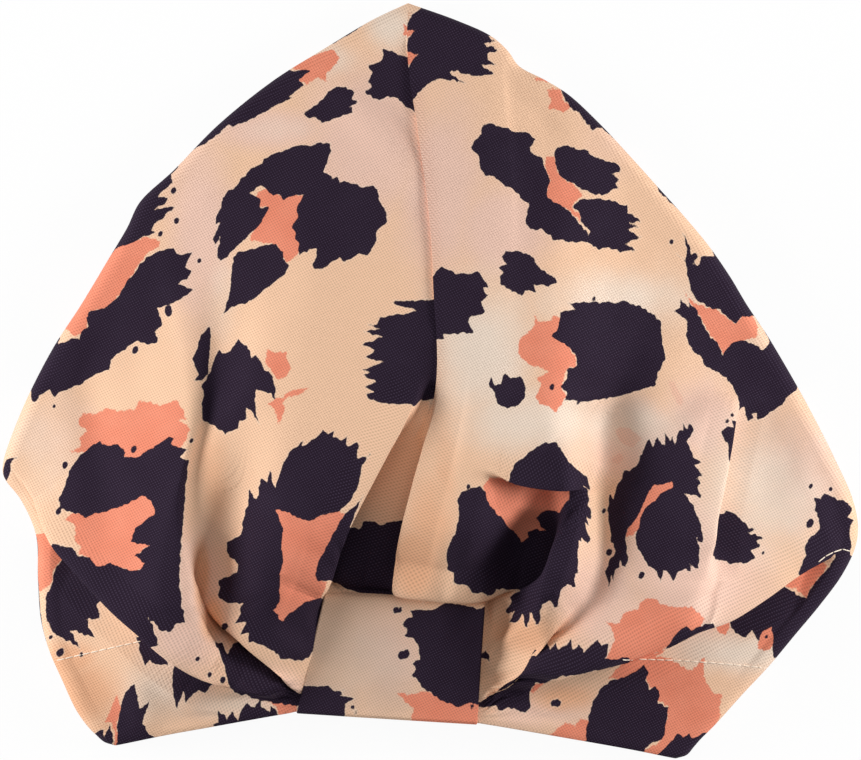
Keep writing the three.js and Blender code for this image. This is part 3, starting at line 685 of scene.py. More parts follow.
            (518, 355), (518, 340), (528, 333), (535, 325),
        ]),
        Blotch([
            (482, 486), (489, 476), (500, 478), (508, 470), (570, 478), (569, 499), (563, 504), (558, 514),
            (549, 511), (541, 513), (538, 517), (540, 523), (547, 531), (536, 531), (529, 533), (529, 540),
            (521, 542), (513, 532), (504, 526), (495, 513), (487, 506),
        ], "pocket_lip", LOW),
        Blotch([(487, 484), (490, 477), (497, 480), (509, 480), (509, 486), (490, 490)], "pocket_lip", HIGH),
        Blotch([
            (650, 484), (672, 481), (673, 489), (664, 491), (657, 497), (653, 503), (647, 506), (643, 512),
            (640, 518), (640, 527), (635, 530), (632, 535), (625, 535), (626, 528), (635, 515), (644, 497),
        ]),
        Blotch([
            (780, 581), (790, 570), (812, 560), (822, 560), (826, 568), (818, 578), (812, 585), (806, 598),
            (795, 588), (787, 587),
        ], "drape", LOW),
        Blotch([(774, 622), (776, 640), (767, 651), (757, 648), (760, 630)]),
        Blotch([(710, 616), (726, 612), (729, 628), (723, 636), (718, 630)], "drape", LOW),
        Blotch([
            (638, 601), (645, 597), (655, 598), (660, 603), (675, 606), (690, 605), (698, 612), (703, 618),
            (698, 628), (690, 632), (668, 645), (655, 651), (640, 658), (620, 662), (602, 662), (608, 650),
            (613, 640), (612, 630), (605, 620), (618, 622), (624, 610), (637, 608),
        ], "drape", HIGH),
        Blotch([(531, 690), (534, 683), (545, 681), (540, 686), (533, 692)]),
        Blotch([
            (640, 662), (650, 656), (670, 658), (685, 668), (692, 670), (700, 660), (705, 655), (703, 668),
            (705, 680), (712, 693), (722, 694), (718, 715), (712, 740), (697, 742), (680, 745), (668, 752),
            (655, 775), (625, 770), (645, 748), (660, 742), (666, 720), (668, 706), (657, 700), (655, 688),
            (648, 685),
        ], "drape", LOW),
        Blotch([
            (608, 678), (615, 670), (630, 655), (645, 648), (665, 650), (650, 660), (645, 667), (635, 673),
            (622, 678),
        ], "drape", LOW),
        Blotch([
            (545, 735), (556, 730), (565, 722), (575, 725), (580, 717), (588, 722), (588, 742), (596, 770),
            (555, 765),
        ]),
        Blotch([(408, 29), (418, 31), (410, 37), (402, 36)]),
        Blotch([(402, 50), (419, 53), (410, 66), (402, 64)]),
    ],
    dots=[
        (694, 257, 3), (551, 387, 2.4), (593, 299, 1.8), (603, 510, 2), (608, 551, 2.8), (640, 574, 2.8),
        (757, 545, 1.5), (762, 552, 1.4), (731, 415, 1.8), (726, 421, 1.8), (810, 486, 2), (830, 489, 1.8),
        (809, 523, 3.5), (766, 636, 1.6), (556, 702, 2.8), (553, 702, 2.4), (558, 703, 2.4), (671, 242, 2),
        (468, 486, 2),
    ],
)

LOOP_DARK = [
    Blotch([
        (492, 603), (478, 608), (465, 604), (455, 603), (445, 602), (437, 607), (425, 609), (410, 609),
        (413, 615), (402, 622), (408, 628), (404, 635), (415, 638), (419, 648), (420, 658), (412, 662),
        (416, 668), (410, 675), (418, 678), (422, 688), (432, 692), (442, 700), (458, 706), (468, 702),
        (478, 703), (490, 690),
    ]),
    Blotch([
        (285, 686), (328, 685), (336, 690), (345, 688), (339, 694), (357, 697), (346, 702), (344, 718),
        (285, 722),
    ]),
]
LOOP_CORAL = [
    Blotch([
        (396, 691), (410, 694), (425, 690), (440, 695), (455, 704), (470, 701), (490, 703), (490, 735),
        (408, 730), (414, 708), (405, 700),
    ]),
]
LOOP_DOTS = [
    (396, 609, 2.6), (400, 609, 2.2), (402, 654, 3.6), (406, 653, 3.6), (423, 601, 1.8), (472, 706, 1.8),
    (353, 706, 1.8), (356, 711, 1.4),
]

# Soft tints of the peach ground: place, reach across and up, and strength
# Cream tints: the ground's paler cloth, and at the left hem, (150, 690), painted light on cloth that lies in
# the drape's shade
CREAM_TINTS_AND_PAINTED_LIGHT = [
    (388, 25, 24, 22, 0.9), (330, 60, 30, 16, 0.6), (480, 350, 50, 60, 1), (530, 420, 70, 34, 0.9),
    (620, 300, 80, 30, 0.8), (620, 425, 60, 24, 0.8), (760, 490, 60, 60, 0.8), (740, 650, 70, 20, 0.9),
    (360, 660, 50, 40, 0.5), (240, 705, 50, 14, 0.6), (150, 690, 40, 40, 0.6), (45, 440, 40, 60, 0.45),
    (280, 130, 40, 14, 0.4), (225, 300, 18, 40, 0.5), (680, 640, 60, 30, 0.5), (740, 330, 40, 60, 0.4),
]
PINK_TINTS = [
    (370, 140, 60, 70, 1), (440, 190, 40, 80, 1), (500, 230, 50, 40, 1), (200, 230, 30, 90, 0.9),
    (270, 130, 60, 20, 0.9), (640, 440, 60, 40, 0.9), (690, 570, 70, 70, 1), (600, 600, 50, 50, 0.9),
    (195, 600, 40, 80, 0.8), (280, 690, 30, 20, 0.8), (800, 470, 50, 60, 0.8), (700, 420, 40, 40, 0.9),
    (620, 120, 40, 50, 0.5), (390, 650, 40, 50, 0.7), (540, 710, 60, 20, 0.7), (190, 640, 40, 30, 0.9),
    (60, 430, 40, 40, 0.5),
]
# The loop's cloth: greyer, and darker as painted shade
LOOP_GREY_AND_SHADE_TINTS = [(350, 640, 46, 50, 1), (330, 690, 40, 30, 0.8), (385, 680, 30, 40, 0.8)]
# Warm tints: deeper peach on the left hem, and elsewhere painted shade in creases, hollows, beside the loop
# and under the drapes
WARM_TINTS_AND_PAINTED_SHADE = [
    (80, 690, 50, 40, 0.9), (70, 660, 30, 20, 1), (430, 520, 30, 50, 0.8), (215, 480, 20, 60, 0.7),
    (520, 640, 30, 40, 0.5), (110, 730, 40, 20, 0.6), (203, 575, 9, 40, 1), (213, 618, 13, 26, 1),
    (445, 470, 16, 60, 0.6), (415, 562, 26, 40, 1), (530, 630, 50, 28, 0.8), (560, 697, 40, 16, 0.8),
]

# Faint pink patches of the ground
BLUSH = [
    Blotch([(614, 430), (620, 426), (628, 428), (641, 438), (632, 447), (625, 446), (618, 440)]),
    Blotch([(611, 458), (618, 453), (623, 458), (618, 464), (611, 463)]),
    Blotch([(667, 380), (673, 381), (683, 402), (679, 407), (672, 396)]),
]

# Places along the hem's topstitch rows
STITCH_ROWS = [
    [(58, 660), (100, 650), (143, 640)],
    [(622, 658), (680, 660), (730, 664), (768, 668)],
    [(818, 561), (826, 555), (835, 551), (845, 549), (851, 552)],
]


def loop_point(across, along):
    """A place on the loop's front: across from its left edge, and along from the rim to its top."""
    across = np.asarray(across, float)[..., None]
    along = np.asarray(along, float)[..., None]
    bottom = mix(LOOP_CORNERS[0], LOOP_CORNERS[1], across)
    top = mix(LOOP_CORNERS[3], LOOP_CORNERS[2], across)
    return mix(bottom, top, along)


def monotone(values, places):
    """Smooth values between the rays that never pass their neighbours'."""
    values = np.asarray(values, float)
    slopes = np.diff(values)
    tangents = np.zeros_like(values)
    same = slopes[:-1] * slopes[1:] > 0
    total = np.where(same, slopes[:-1] + slopes[1:], 1)
    tangents[1:-1] = np.where(same, 2 * slopes[:-1] * slopes[1:] / total, 0)
    tangents[0] = slopes[0]
    tangents[-1] = slopes[-1]
    first = np.minimum(places.astype(int), len(values) - 2)
    part = places - first
    return hermite(part, values[first], values[first + 1], tangents[first], tangents[first + 1])


def between_rays(lines, places):
    """Smooth points between the rays' lines, at places such as 1.4."""
    lines = np.asarray(lines, float)
    tangents = np.gradient(lines, axis=0)
    first = np.minimum(places.astype(int), len(lines) - 2)
    part = (places - first).reshape(-1, *[1] * (lines.ndim - 1))
    return hermite(part, lines[first], lines[first + 1], tangents[first], tangents[first + 1])


OUTLINE_POINTS = 1200
FAN_SAMPLES = 400


class Outline:
    """The side outline of a half, with the fold that rolls under there."""

    def __init__(self, side):
        self.side = side
        self.line = smooth_line(plan(side.outline), OUTLINE_POINTS)
        self.run = unit(np.gradient(self.line, axis=0))
        corner = plan(side.outline[0])
        self.rim_run = unit(corner - plan(side.rays[0].route[-1]))

    def at(self, share, table):
        places = np.linspace(0, 1, len(table))
        return np.stack([np.interp(share, places, column) for column in table.T], axis=-1)

    def fold(self, share):
        """Radius, outward direction and foot of the side fold at shares of the outline."""
        share = np.asarray(share, float)
        radius = mix(CORNER_RADIUS, SIDE_RADIUS, np.sin(np.pi * share))
        run = self.at(share, self.run)
        out = np.stack([run[..., 1], -run[..., 0]], axis=-1) * self.side.sign
        out = mix(out, self.rim_run, (1 - smoothstep(share, 0, FOLD_TURNS))[..., None])
        out = unit(mix(out, np.array([0, 1]), smoothstep(share, 1 - FOLD_TURNS, 1)[..., None]))
        foot = self.at(share, self.line) - out * (radius * ROLL_SHARE)[..., None]
        return radius, out, foot

    def back_rim(self, share):
        """The back rim, drawn up by its elastic between the hem corners."""
        corner = self.fold(np.zeros(1))[2][0]
        corner[0] -= self.side.sign * BACK_EDGE
        corner[1] += BACK_INSET
        draw = 1 - (1 - share) ** 2
        x = mix(corner[0], RIM_CENTRE[0], share)
        return np.stack([x, mix(corner[1], RIM_CENTRE[1] + BACK_RISE, draw)], axis=-1)


class Fan:
    """Plan and base height of one half's front. Columns spread as the rays do, from the loop to the side."""

    def __init__(self, side):
        self.side = side
        self.outline = Outline(side)
        starts = []
        leaves = []
        lines = []
        for ray in side.rays:
            across, along = ray.leave
            leave = loop_point(across, along)
            if along == 1:
                leave = leave + unit(loop_point(across, 1) - loop_point(across, 0)) * LOOP_EASE
            else:
                leave = leave + unit(leave - loop_point(0.5, along)) * LOOP_EASE
            end = self.outline.fold(np.array([ray.end]))[2][0]
            starts.append(loop_point(SEAM_ON_LOOP, ray.gather))
            leaves.append(leave)
            lines.append(smooth_line([leave, *plan(ray.route), end], FREE_ROWS + 1))
        places = self.column_places(np.array(lines))
        self.places = places
        self.share = np.clip(monotone([ray.end for ray in side.rays], places), 0, 1)
        self.radius, self.out, self.foot = self.outline.fold(self.share)
        part = np.linspace(0, 1, FREE_ROWS + 1)
        free = between_rays(lines, places)
        drift = self.foot - free[:, -1]
        free = free + drift[:, None, :] * (part**2)[None, :, None]
        start = between_rays(starts, places)
        leave = free[:, 0]
        under = mix(start[:, None, :], leave[:, None, :], (np.arange(LOOP_ROWS) / LOOP_ROWS)[None, :, None])
        self.part = np.concatenate([np.zeros(LOOP_ROWS), part])
        self.plan = np.concatenate([under, free], axis=1)
        self.height = self.base_height(under, leave, part)

    def column_places(self, lines):
        """Places of the columns among the rays, about COLUMN_STEP apart where the fan is widest."""
        dense = np.linspace(0, len(lines) - 1, FAN_SAMPLES)
        spread = between_rays(lines, dense)
        widest = np.linalg.norm(np.diff(spread, axis=0), axis=2).max(axis=1)
        lengths = np.concatenate([[0], np.cumsum(widest)])
        count = int(lengths[-1] / COLUMN_STEP) + 1
        return np.interp(np.linspace(0, lengths[-1], count), lengths, dense)

    def base_height(self, under, leave, part):
        """Height of the cloth before its folds."""
        rays = self.side.rays
        swell = monotone([ray.swell for ray in rays], self.places)[:, None]
        curve = monotone([ray.curve for ray in rays], self.places)[:, None]
        gathered = monotone([RIM_LIFT + LOOP_CLIMB * ray.leave[1] for ray in rays], self.places)[:, None]
        started = monotone([RIM_LIFT + LOOP_CLIMB * ray.gather for ray in rays], self.places)[:, None]
        below = mix(started, gathered, np.arange(LOOP_ROWS)[None, :] / LOOP_ROWS)
        top = 2 * self.radius[:, None]
        free = mix(gathered, top, part[None, :]) + PUFF * swell * np.sin(np.pi * part[None, :] ** curve)
        share, start = self.pleat_lines()
        rise = smoothstep(part[None, :], start[:, None], start[:, None] + PLEAT_STARTS)
        free += PLEAT_RISE * share[:, None] * rise * (1 - smoothstep(part, PLEAT_SINKS, 1))
        return np.concatenate([below, free], axis=1)

    def pleat_lines(self):
        """How far each column rises in its pleat and where it starts to, softened between the pleats."""
        pleats = [(*pleat, 0)[:3] for pleat in self.side.pleats]
        places, shares, starts = np.array(pleats, float).T
        turns = np.linspace(-2, 2, 21) * PLEAT_SOFTNESS
        weights = np.exp(-((turns / PLEAT_SOFTNESS) ** 2))
        around = self.places[:, None] + turns[None, :]
        return [np.interp(around, places, values) @ weights / weights.sum() for values in (shares, starts)]


# Points of a stroke's rough line and fewest of its fine one, millimetres in which it fades past its ends,
# and points that are measured at a time
ROUGH_POINTS = 200
FEWEST_POINTS = 12
END_FADE = 6
CHUNK = 20000

# How far folds and ridges are felt, in their own widths, and the half width of a fold's step in its radius
FOLD_SPREAD = 2.5
RIDGE_SPREAD = 3
STEP_SHARE = 0.35


class Stroke:
    """A path across the plan, for measuring how far points lie to one side of it."""

    def __init__(self, path, spread):
        points = plan(path)
        rough = smooth_line(points, ROUGH_POINTS)
        self.line = smooth_line(points, max(int(line_length(rough)), FEWEST_POINTS))
        self.run = unit(np.gradient(self.line[:, :2], axis=0))
        self.across = np.stack([-self.run[:, 1], self.run[:, 0]], axis=1)
        self.spread = spread

    def measure(self, points):
        """Offset to the left of the path, strength there and direction across, for each point."""
        offset = np.zeros(len(points))
        strength = np.zeros(len(points))
        across = np.zeros((len(points), 2))
        low = self.line[:, :2].min(axis=0) - self.spread
        high = self.line[:, :2].max(axis=0) + self.spread
        inside = np.flatnonzero(((points > low) & (points < high)).all(axis=1))
        for chunk in np.array_split(inside, len(inside) // CHUNK + 1):
            gap = points[chunk, None, :] - self.line[None, :, :2]
            nearest = (gap**2).sum(axis=2).argmin(axis=1)
            gap = gap[np.arange(len(chunk)), nearest]
            offset[chunk] = (gap * self.across[nearest]).sum(axis=1)
            ahead = (gap * self.run[nearest]).sum(axis=1)
            at_end = (nearest == 0) | (nearest == len(self.line) - 1)
            past = np.where(at_end, np.abs(ahead), 0)
            strength[chunk] = self.line[nearest, 2] * np.exp(-((past / END_FADE) ** 2))
            across[chunk] = self.across[nearest]
        return offset, strength, across


def apply_fold(fold, points):
    """Plan shift, lift and signed distance (above zero on the upper side) that a fold gives to points."""
    spread = FOLD_SPREAD * max(*fold.reach, fold.radius)
    offset, strength, across = Stroke(fold.path, spread).measure(points)
    distance = offset * fold.high
    towards = across * fold.high
    upper = fold.rise * np.exp(-((np.maximum(distance, 0) / fold.reach[0]) ** 2))
    lower = -fold.dip * np.exp(-((np.minimum(distance, 0) / fold.reach[1]) ** 2))
    edge = STEP_SHARE * fold.radius
    lift = strength * mix(lower, upper, smoothstep(distance, -edge, edge))
    swing = np.where(np.abs(distance) < fold.radius, np.sin(np.pi * distance / fold.radius), 0)
    shift = -(fold.over * strength * swing)[:, None] * towards
    return shift, lift, distance


def apply_ridge(ridge, points):
    offset, strength, _ = Stroke(ridge.path, RIDGE_SPREAD * ridge.width).measure(points)
    return ridge.height * strength * np.exp(-((offset / ridge.width) ** 2))


def rough_noise(points, size):
    """Soft noise from -1 to 1 with features of that size."""
    return np.array([noise.noise(Vector((x / size, y / size, 0))) for x, y in points])


def polygon_distance(points, polygon):
    """Signed distance of points to a polygon's edge, below zero inside it."""
    nearest = np.full(len(points), np.inf)
    inside = np.zeros(len(points), bool)
    for start, end in zip(polygon, np.roll(polygon, -1, axis=0)):
        along = end - start
        gap = points - start
        place = np.clip((gap @ along) / (along @ along), 0, 1)
        nearest = np.minimum(nearest, np.linalg.norm(gap - place[:, None] * along, axis=1))
        crosses = (start[1] > points[:, 1]) != (end[1] > points[:, 1])
        if along[1] != 0:
            inside ^= crosses & (points[:, 0] < start[0] + along[0] * (points[:, 1] - start[1]) / along[1])
    return np.where(inside, -nearest, nearest)


PRINT_REACH = 5
BUMP_SIZE = 2.2
BUMP_DEPTH = 0.45
BUMP_SHIFTS = (0, 500)
STREAK_WIDTH = 1.3
STREAK_LENGTH = 6
STREAK_DEPTH = 0.6
STREAK_ANGLE = math.radians(65)
STREAK_RUN = np.array([math.cos(STREAK_ANGLE), math.sin(STREAK_ANGLE)])
STREAK_ACROSS = np.array([-STREAK_RUN[1], STREAK_RUN[0]])
DOT_STRETCH = 1.35
TINT_SOFTNESS = 1.5


def brushed(points):
    """Places at which the print is read, moved a little so that its edges are as rough as a brush's."""
    across = points @ STREAK_ACROSS / STREAK_WIDTH
    along = points @ STREAK_RUN / STREAK_LENGTH
    streak = STREAK_DEPTH * rough_noise(np.stack([across, along], axis=1), 1)
    bumps = [BUMP_DEPTH * rough_noise(points + shift, BUMP_SIZE) for shift in BUMP_SHIFTS]
    return points + np.stack(bumps, axis=1) + streak[:, None] * STREAK_RUN


def print_distance(points, blotches, sides):
    """Signed distance of points to the nearest printed patch, in millimetres."""
    result = np.full(len(points), float(PRINT_REACH))
    for blotch in blotches:
        polygon = plan(blotch.points)
        near = (points > polygon.min(axis=0) - PRINT_REACH) & (points < polygon.max(axis=0) + PRINT_REACH)
        near = near.all(axis=1)
        if blotch.fold and blotch.fold in sides:
            near &= sides[blotch.fold] * blotch.side > 0
        chosen = np.flatnonzero(near)
        result[chosen] = np.minimum(result[chosen], polygon_distance(points[chosen], polygon))
    return np.clip(result, -PRINT_REACH, PRINT_REACH)


def dot_distance(points, dots):
    """Signed distance of points to the nearest dot of the print, which is longer along the brush."""
    result = np.full(len(points), float(PRINT_REACH))
    for x, y, size in dots:
        gap = points - plan((x, y))
        along = gap @ STREAK_RUN
        across = gap @ STREAK_ACROSS
        result = np.minimum(result, np.hypot(along / DOT_STRETCH, across) - size * PIXEL)
    return result


def tint_strength(points, tints):
    """How strongly a set of soft tints colours each point."""
    result = np.zeros(len(points))
    for x, y, across, up, strength in tints:
        gap = (points - plan((x, y))) / (np.array([across, up]) * PIXEL)
        result = np.maximum(result, strength * np.exp(-((gap**2).sum(axis=1)) / TINT_SOFTNESS))
    return result


def print_attributes(points, cloth, dark, coral, dots=(), sides=None, on_loop=False):
    """Attributes of printed cloth: distances to its patches, tints of its ground with painted light and
    shade among them, the loop's grey that is partly painted shade, and its coordinates.
    """
    flat = np.zeros(len(points))
    rough = brushed(points)
    sides = sides or {}
    darkness = np.minimum(print_distance(rough, dark, sides), dot_distance(points, dots))
    printed = [darkness, print_distance(rough, coral, sides), print_distance(rough, BLUSH, {})]
    tints = [tint_strength(points, tints) for tints in (CREAM_TINTS_AND_PAINTED_LIGHT, PINK_TINTS, WARM_TINTS_AND_PAINTED_SHADE)]
    tone_and_shade = [tint_strength(points, LOOP_GREY_AND_SHADE_TINTS) if on_loop else flat, flat, flat]
    return {
        "print": np.stack(printed, axis=1),
        "tint_and_painted_light": np.stack(tints, axis=1),
        "tone_and_shade": np.stack(tone_and_shade, axis=1),
        "cloth": np.concatenate([cloth, flat[:, None]], axis=1),
    }


BACK_SHIFT = np.array([18, 34])


def back_attributes(points):
    """The cloth's print repeats: hidden cloth shows another part of it, turned half round."""
    shown = BACK_SHIFT - points
    return print_attributes(shown, shown, LEFT.dark + RIGHT.dark, LEFT.coral + RIGHT.coral)


def grid_faces(columns, rows, flip):
    """Quads of a grid whose points run row by row within each column."""
    first = (np.arange(columns - 1)[:, None] * rows + np.arange(rows - 1)[None, :]).ravel()
    quads = np.stack([first, first + rows, first + rows + 1, first + 1], axis=1)
    return quads[:, ::-1] if flip else quads


def make_mesh(name, points, quads, material, attributes=None):
    """A smooth mesh from points in millimetres."""
    mesh = bpy.data.meshes.new(name)
    mesh.vertices.add(len(points))
    mesh.vertices.foreach_set("co", (np.asarray(points) * METRE).astype(np.float32).ravel())
    mesh.loops.add(quads.size)
    mesh.loops.foreach_set("vertex_index", np.ascontiguousarray(quads, np.int32).ravel())
    mesh.polygons.add(len(quads))
    mesh.polygons.foreach_set("loop_start", np.arange(0, quads.size, 4, dtype=np.int32))
    mesh.update(calc_edges=True)
    mesh.validate()
    mesh.polygons.foreach_set("use_smooth", np.ones(len(mesh.polygons), bool))
    for attribute, values in (attributes or {}).items():
        layer = mesh.attributes.new(attribute, "FLOAT_VECTOR", "POINT")
        layer.data.foreach_set("vector", np.asarray(values, np.float32).ravel())
    mesh.materials.append(material)
    piece = bpy.data.objects.new(name, mesh)
    bpy.context.scene.collection.objects.link(piece)
    return piece


# Materials


def colour(red, green, blue):
    """A colour written as it shows on screen, from 0 to 255, as a linear one."""
    parts = [value / 255 for value in (red, green, blue)]
    linear = [part / 12.92 if part <= 0.04045 else ((part + 0.055) / 1.055) ** 2.4 for part in parts]
    return (*linear, 1)


PEACH = colour(250, 208, 175)
PINK = colour(246, 208, 190)
CREAM = colour(246, 228, 211)
# Deeper peach, laid on mostly as painted shade
WARM_AND_SHADE = colour(243, 188, 150)
BLUSH_PINK = colour(240, 186, 164)
HALO = colour(250, 234, 216)
CORAL = colour(249, 158, 130)
DEEP_CORAL = colour(238, 141, 112)
DARK = colour(33, 22, 35)
SOFT_DARK = colour(43, 33, 47)
# Painted highlight on the thread crests of the dark print
DARK_THREAD_HIGHLIGHT = colour(84, 72, 93)
# Greyer cloth of the loop, partly painted shade
LOOP_GREY_AND_SHADE = colour(212, 186, 167)
# Painted shade in the creases of the seam's puckers
PUCKER_SHADE = colour(206, 132, 98)
WHITE = (1, 1, 1, 1)
WEAVE_SHADE = (0.35, 0.25, 0.2, 1)
FILM_WHITE = colour(238, 234, 228)
ELASTIC_WHITE = colour(240, 236, 230)
THREAD_CREAM = colour(254, 236, 216)

# How much of each colour shows where it is laid over another
HALO_SHARE = 0.25
BLUSH_SHARE = 0.5
# The loop's grey, partly painted shade
LOOP_GREY_AND_SHADE_SHARE = 0.6
# Painted shade in the seam's puckers
PUCKER_SHADE_SHARE = 0.7
# Painted highlight on the dark print's thread crests
THREAD_HIGHLIGHT_SHARE = 0.45
SHADE_SHARE = 0.28

# Width of the print's soft edges, and how far noise moves them, in millimetres
DARK_EDGE = 0.14
CORAL_EDGE = 0.25
BLUSH_EDGE = 0.4
DARK_WOBBLE = 0.7
CORAL_WOBBLE = 1.2
FINE_WOBBLE = 0.7

# Weave: pitch in millimetres, directions of its ribs, and the lowest height of a rib
WEAVE_PITCH = 0.85
WARP_ANGLE = math.radians(64)
WEFT_ANGLE = math.radians(-31)
TICK_ANGLE = math.radians(92)
RIB_BASE = 0.35
TICK_DEPTH = -4

# A wave texture of scale 1 turns through this angle in one unit
WAVE_RATE = 20


def new_material(name):
    material = bpy.data.materials.new(name)
    material.use_nodes = True
    return material, material.node_tree


def add_node(tree, kind, inputs=None, **settings):
    """A shader node with its settings, and its inputs as values or as sockets to link."""
    item = tree.nodes.new(kind)
    for name, value in settings.items():
        setattr(item, name, value)
    for name, value in (inputs or {}).items():
        socket = item.inputs[name]
        if isinstance(value, bpy.types.NodeSocket):
            tree.links.new(value, socket)
        else:
            socket.default_value = value
    return item


def math_node(tree, operation, first, second=0.0):
    return add_node(tree, "ShaderNodeMath", {0: first, 1: second}, operation=operation).outputs[0]


def mix_colours(tree, part, first, second, blend="MIX"):
    item = add_node(tree, "ShaderNodeMix", data_type="RGBA", blend_type=blend)
    for socket, value in ((0, part), (6, first), (7, second)):
        if isinstance(value, bpy.types.NodeSocket):
            tree.links.new(value, item.inputs[socket])
        else:
            item.inputs[socket].default_value = value
    return item.outputs[2]


def ramp(tree, value, start, end):
    """Smoothly from 0 at start to 1 at end."""
    item = add_node(
        tree, "ShaderNodeMapRange", {"Value": value, "From Min": start, "From Max": end},
        interpolation_type="SMOOTHSTEP",
    )
    return item.outputs[0]


def noise_node(tree, vector, scale, detail=2.0):
    inputs = {"Vector": vector, "Scale": scale, "Detail": detail}
    return add_node(tree, "ShaderNodeTexNoise", inputs).outputs[0]


def even_noise(tree, vector, scale, detail):
    """Noise that is as often below zero as above it."""
    return math_node(tree, "SUBTRACT", noise_node(tree, vector, scale, detail), 0.5)


def scaled(tree, value, factor):
    return math_node(tree, "MULTIPLY", value, factor)


def summed(tree, first, second):
    return math_node(tree, "ADD", first, second)


def attribute_vector(tree, name):
    return add_node(tree, "ShaderNodeAttribute", attribute_name=name).outputs["Vector"]


def attribute_parts(tree, name):
    """The three values of an attribute."""
    return add_node(tree, "ShaderNodeSeparateXYZ", {0: attribute_vector(tree, name)}).outputs


def rib(tree, vector, angle):
    """A wave of ribs in the cloth, turned by an angle."""
    inputs = {"Vector": vector, "Angle": angle}
    turned = add_node(tree, "ShaderNodeVectorRotate", inputs, rotation_type="Z_AXIS").outputs[0]
    scale = math.tau / (WAVE_RATE * WEAVE_PITCH)
    inputs = {"Vector": turned, "Scale": scale, "Distortion": 0.6, "Detail": 1.0}
    return add_node(tree, "ShaderNodeTexWave", inputs, wave_type="BANDS", bands_direction="X").outputs[1]


def print_masks(tree, cloth):
    """Where the dark print, its pale halo, the coral print and the faint pink patches show."""
    distances = attribute_parts(tree, "print")
    wobble = even_noise(tree, cloth, 0.7, 3)
    fine = even_noise(tree, cloth, 1.6, 2)
    dark_edge = summed(tree, distances[0], scaled(tree, wobble, DARK_WOBBLE))
    coral_wobble = summed(tree, wobble, scaled(tree, fine, FINE_WOBBLE))
    coral_edge = summed(tree, distances[1], scaled(tree, coral_wobble, CORAL_WOBBLE))
    dark = ramp(tree, dark_edge, DARK_EDGE, -DARK_EDGE)
    halo = scaled(tree, ramp(tree, dark_edge, 0.5, 0.1), HALO_SHARE)
    coral = ramp(tree, coral_edge, CORAL_EDGE, -CORAL_EDGE)
    blush = scaled(tree, ramp(tree, distances[2], BLUSH_EDGE, -BLUSH_EDGE), BLUSH_SHARE)
    return dark, halo, coral, blush


def tinted_ground(tree, cloth):
    """The peach ground with its soft pink, cream and warm tints. The warm tints are mostly painted shade,
    and one of the cream tints paints light.
    """
    tint_and_painted_light = attribute_parts(tree, "tint_and_painted_light")
    drift = scaled(tree, even_noise(tree, cloth, 0.06, 3), 0.5)
    ground = PEACH
    for channel, shade, start, end in ((1, PINK, 0.1, 0.9), (0, CREAM, 0.1, 1.0), (2, WARM_AND_SHADE, 0.3, 0.9)):
        strength = ramp(tree, summed(tree, tint_and_painted_light[channel], drift), start, end)
        ground = mix_colours(tree, strength, ground, shade)
    return ground


def plain_weave(tree, cloth):
    """Height of the weave, where the ribs of warp and weft cross."""
    warp, weft = (summed(tree, rib(tree, cloth, angle), RIB_BASE) for angle in (WARP_ANGLE, WEFT_ANGLE))
    return math_node(tree, "MULTIPLY", warp, weft)


def printed_cloth():
    """Plain-woven cloth, printed with dark and coral patches on a peach ground."""
    material, tree = new_material("printed_cloth")
    shader = tree.nodes["Principled BSDF"]
    cloth = attribute_vector(tree, "cloth")
    dark, halo, coral, blush = print_masks(tree, cloth)
    weave = plain_weave(tree, cloth)
    tone_and_shade = attribute_parts(tree, "tone_and_shade")
    ticks = math_node(tree, "MULTIPLY", tone_and_shade[1], rib(tree, cloth, TICK_ANGLE))

    ground = mix_colours(tree, blush, tinted_ground(tree, cloth), BLUSH_PINK)
    # The loop's greyer cloth, partly painted shade
    ground = mix_colours(tree, scaled(tree, tone_and_shade[0], LOOP_GREY_AND_SHADE_SHARE), ground, LOOP_GREY_AND_SHADE)
    # The seam's pucker ticks darken the ground as painted shade in their creases
    ground = mix_colours(tree, scaled(tree, ticks, PUCKER_SHADE_SHARE), ground, PUCKER_SHADE)
    corals = mix_colours(tree, noise_node(tree, cloth, 0.12), CORAL, DEEP_CORAL)
    darks = mix_colours(tree, noise_node(tree, cloth, 0.06), DARK, SOFT_DARK)
    # Paler thread crests on the dark print where the weave stands high: a painted highlight
    thread_highlights = scaled(tree, ramp(tree, weave, 0.6, 1.7), THREAD_HIGHLIGHT_SHARE)
    darks = mix_colours(tree, thread_highlights, darks, DARK_THREAD_HIGHLIGHT)
    shade = mix_colours(tree, scaled(tree, weave, SHADE_SHARE), WHITE, WEAVE_SHADE)
    painted = mix_colours(tree, halo, ground, HALO)
    painted = mix_colours(tree, coral, painted, corals)
    painted = mix_colours(tree, 1.0, painted, shade, "MULTIPLY")
    painted = mix_colours(tree, dark, painted, darks)

    height = summed(tree, weave, scaled(tree, ticks, TICK_DEPTH))
    bump = add_node(tree, "ShaderNodeBump", {"Strength": 0.25, "Distance": 0.0002, "Height": height})
    tree.links.new(painted, shader.inputs["Base Color"])
    tree.links.new(bump.outputs[0], shader.inputs["Normal"])
    shader.inputs["Roughness"].default_value = 0.8
    shader.inputs["Specular IOR Level"].default_value = 0.04
    return material


SPECK_SCALE = 180
SPECK_SHADE = 0.86


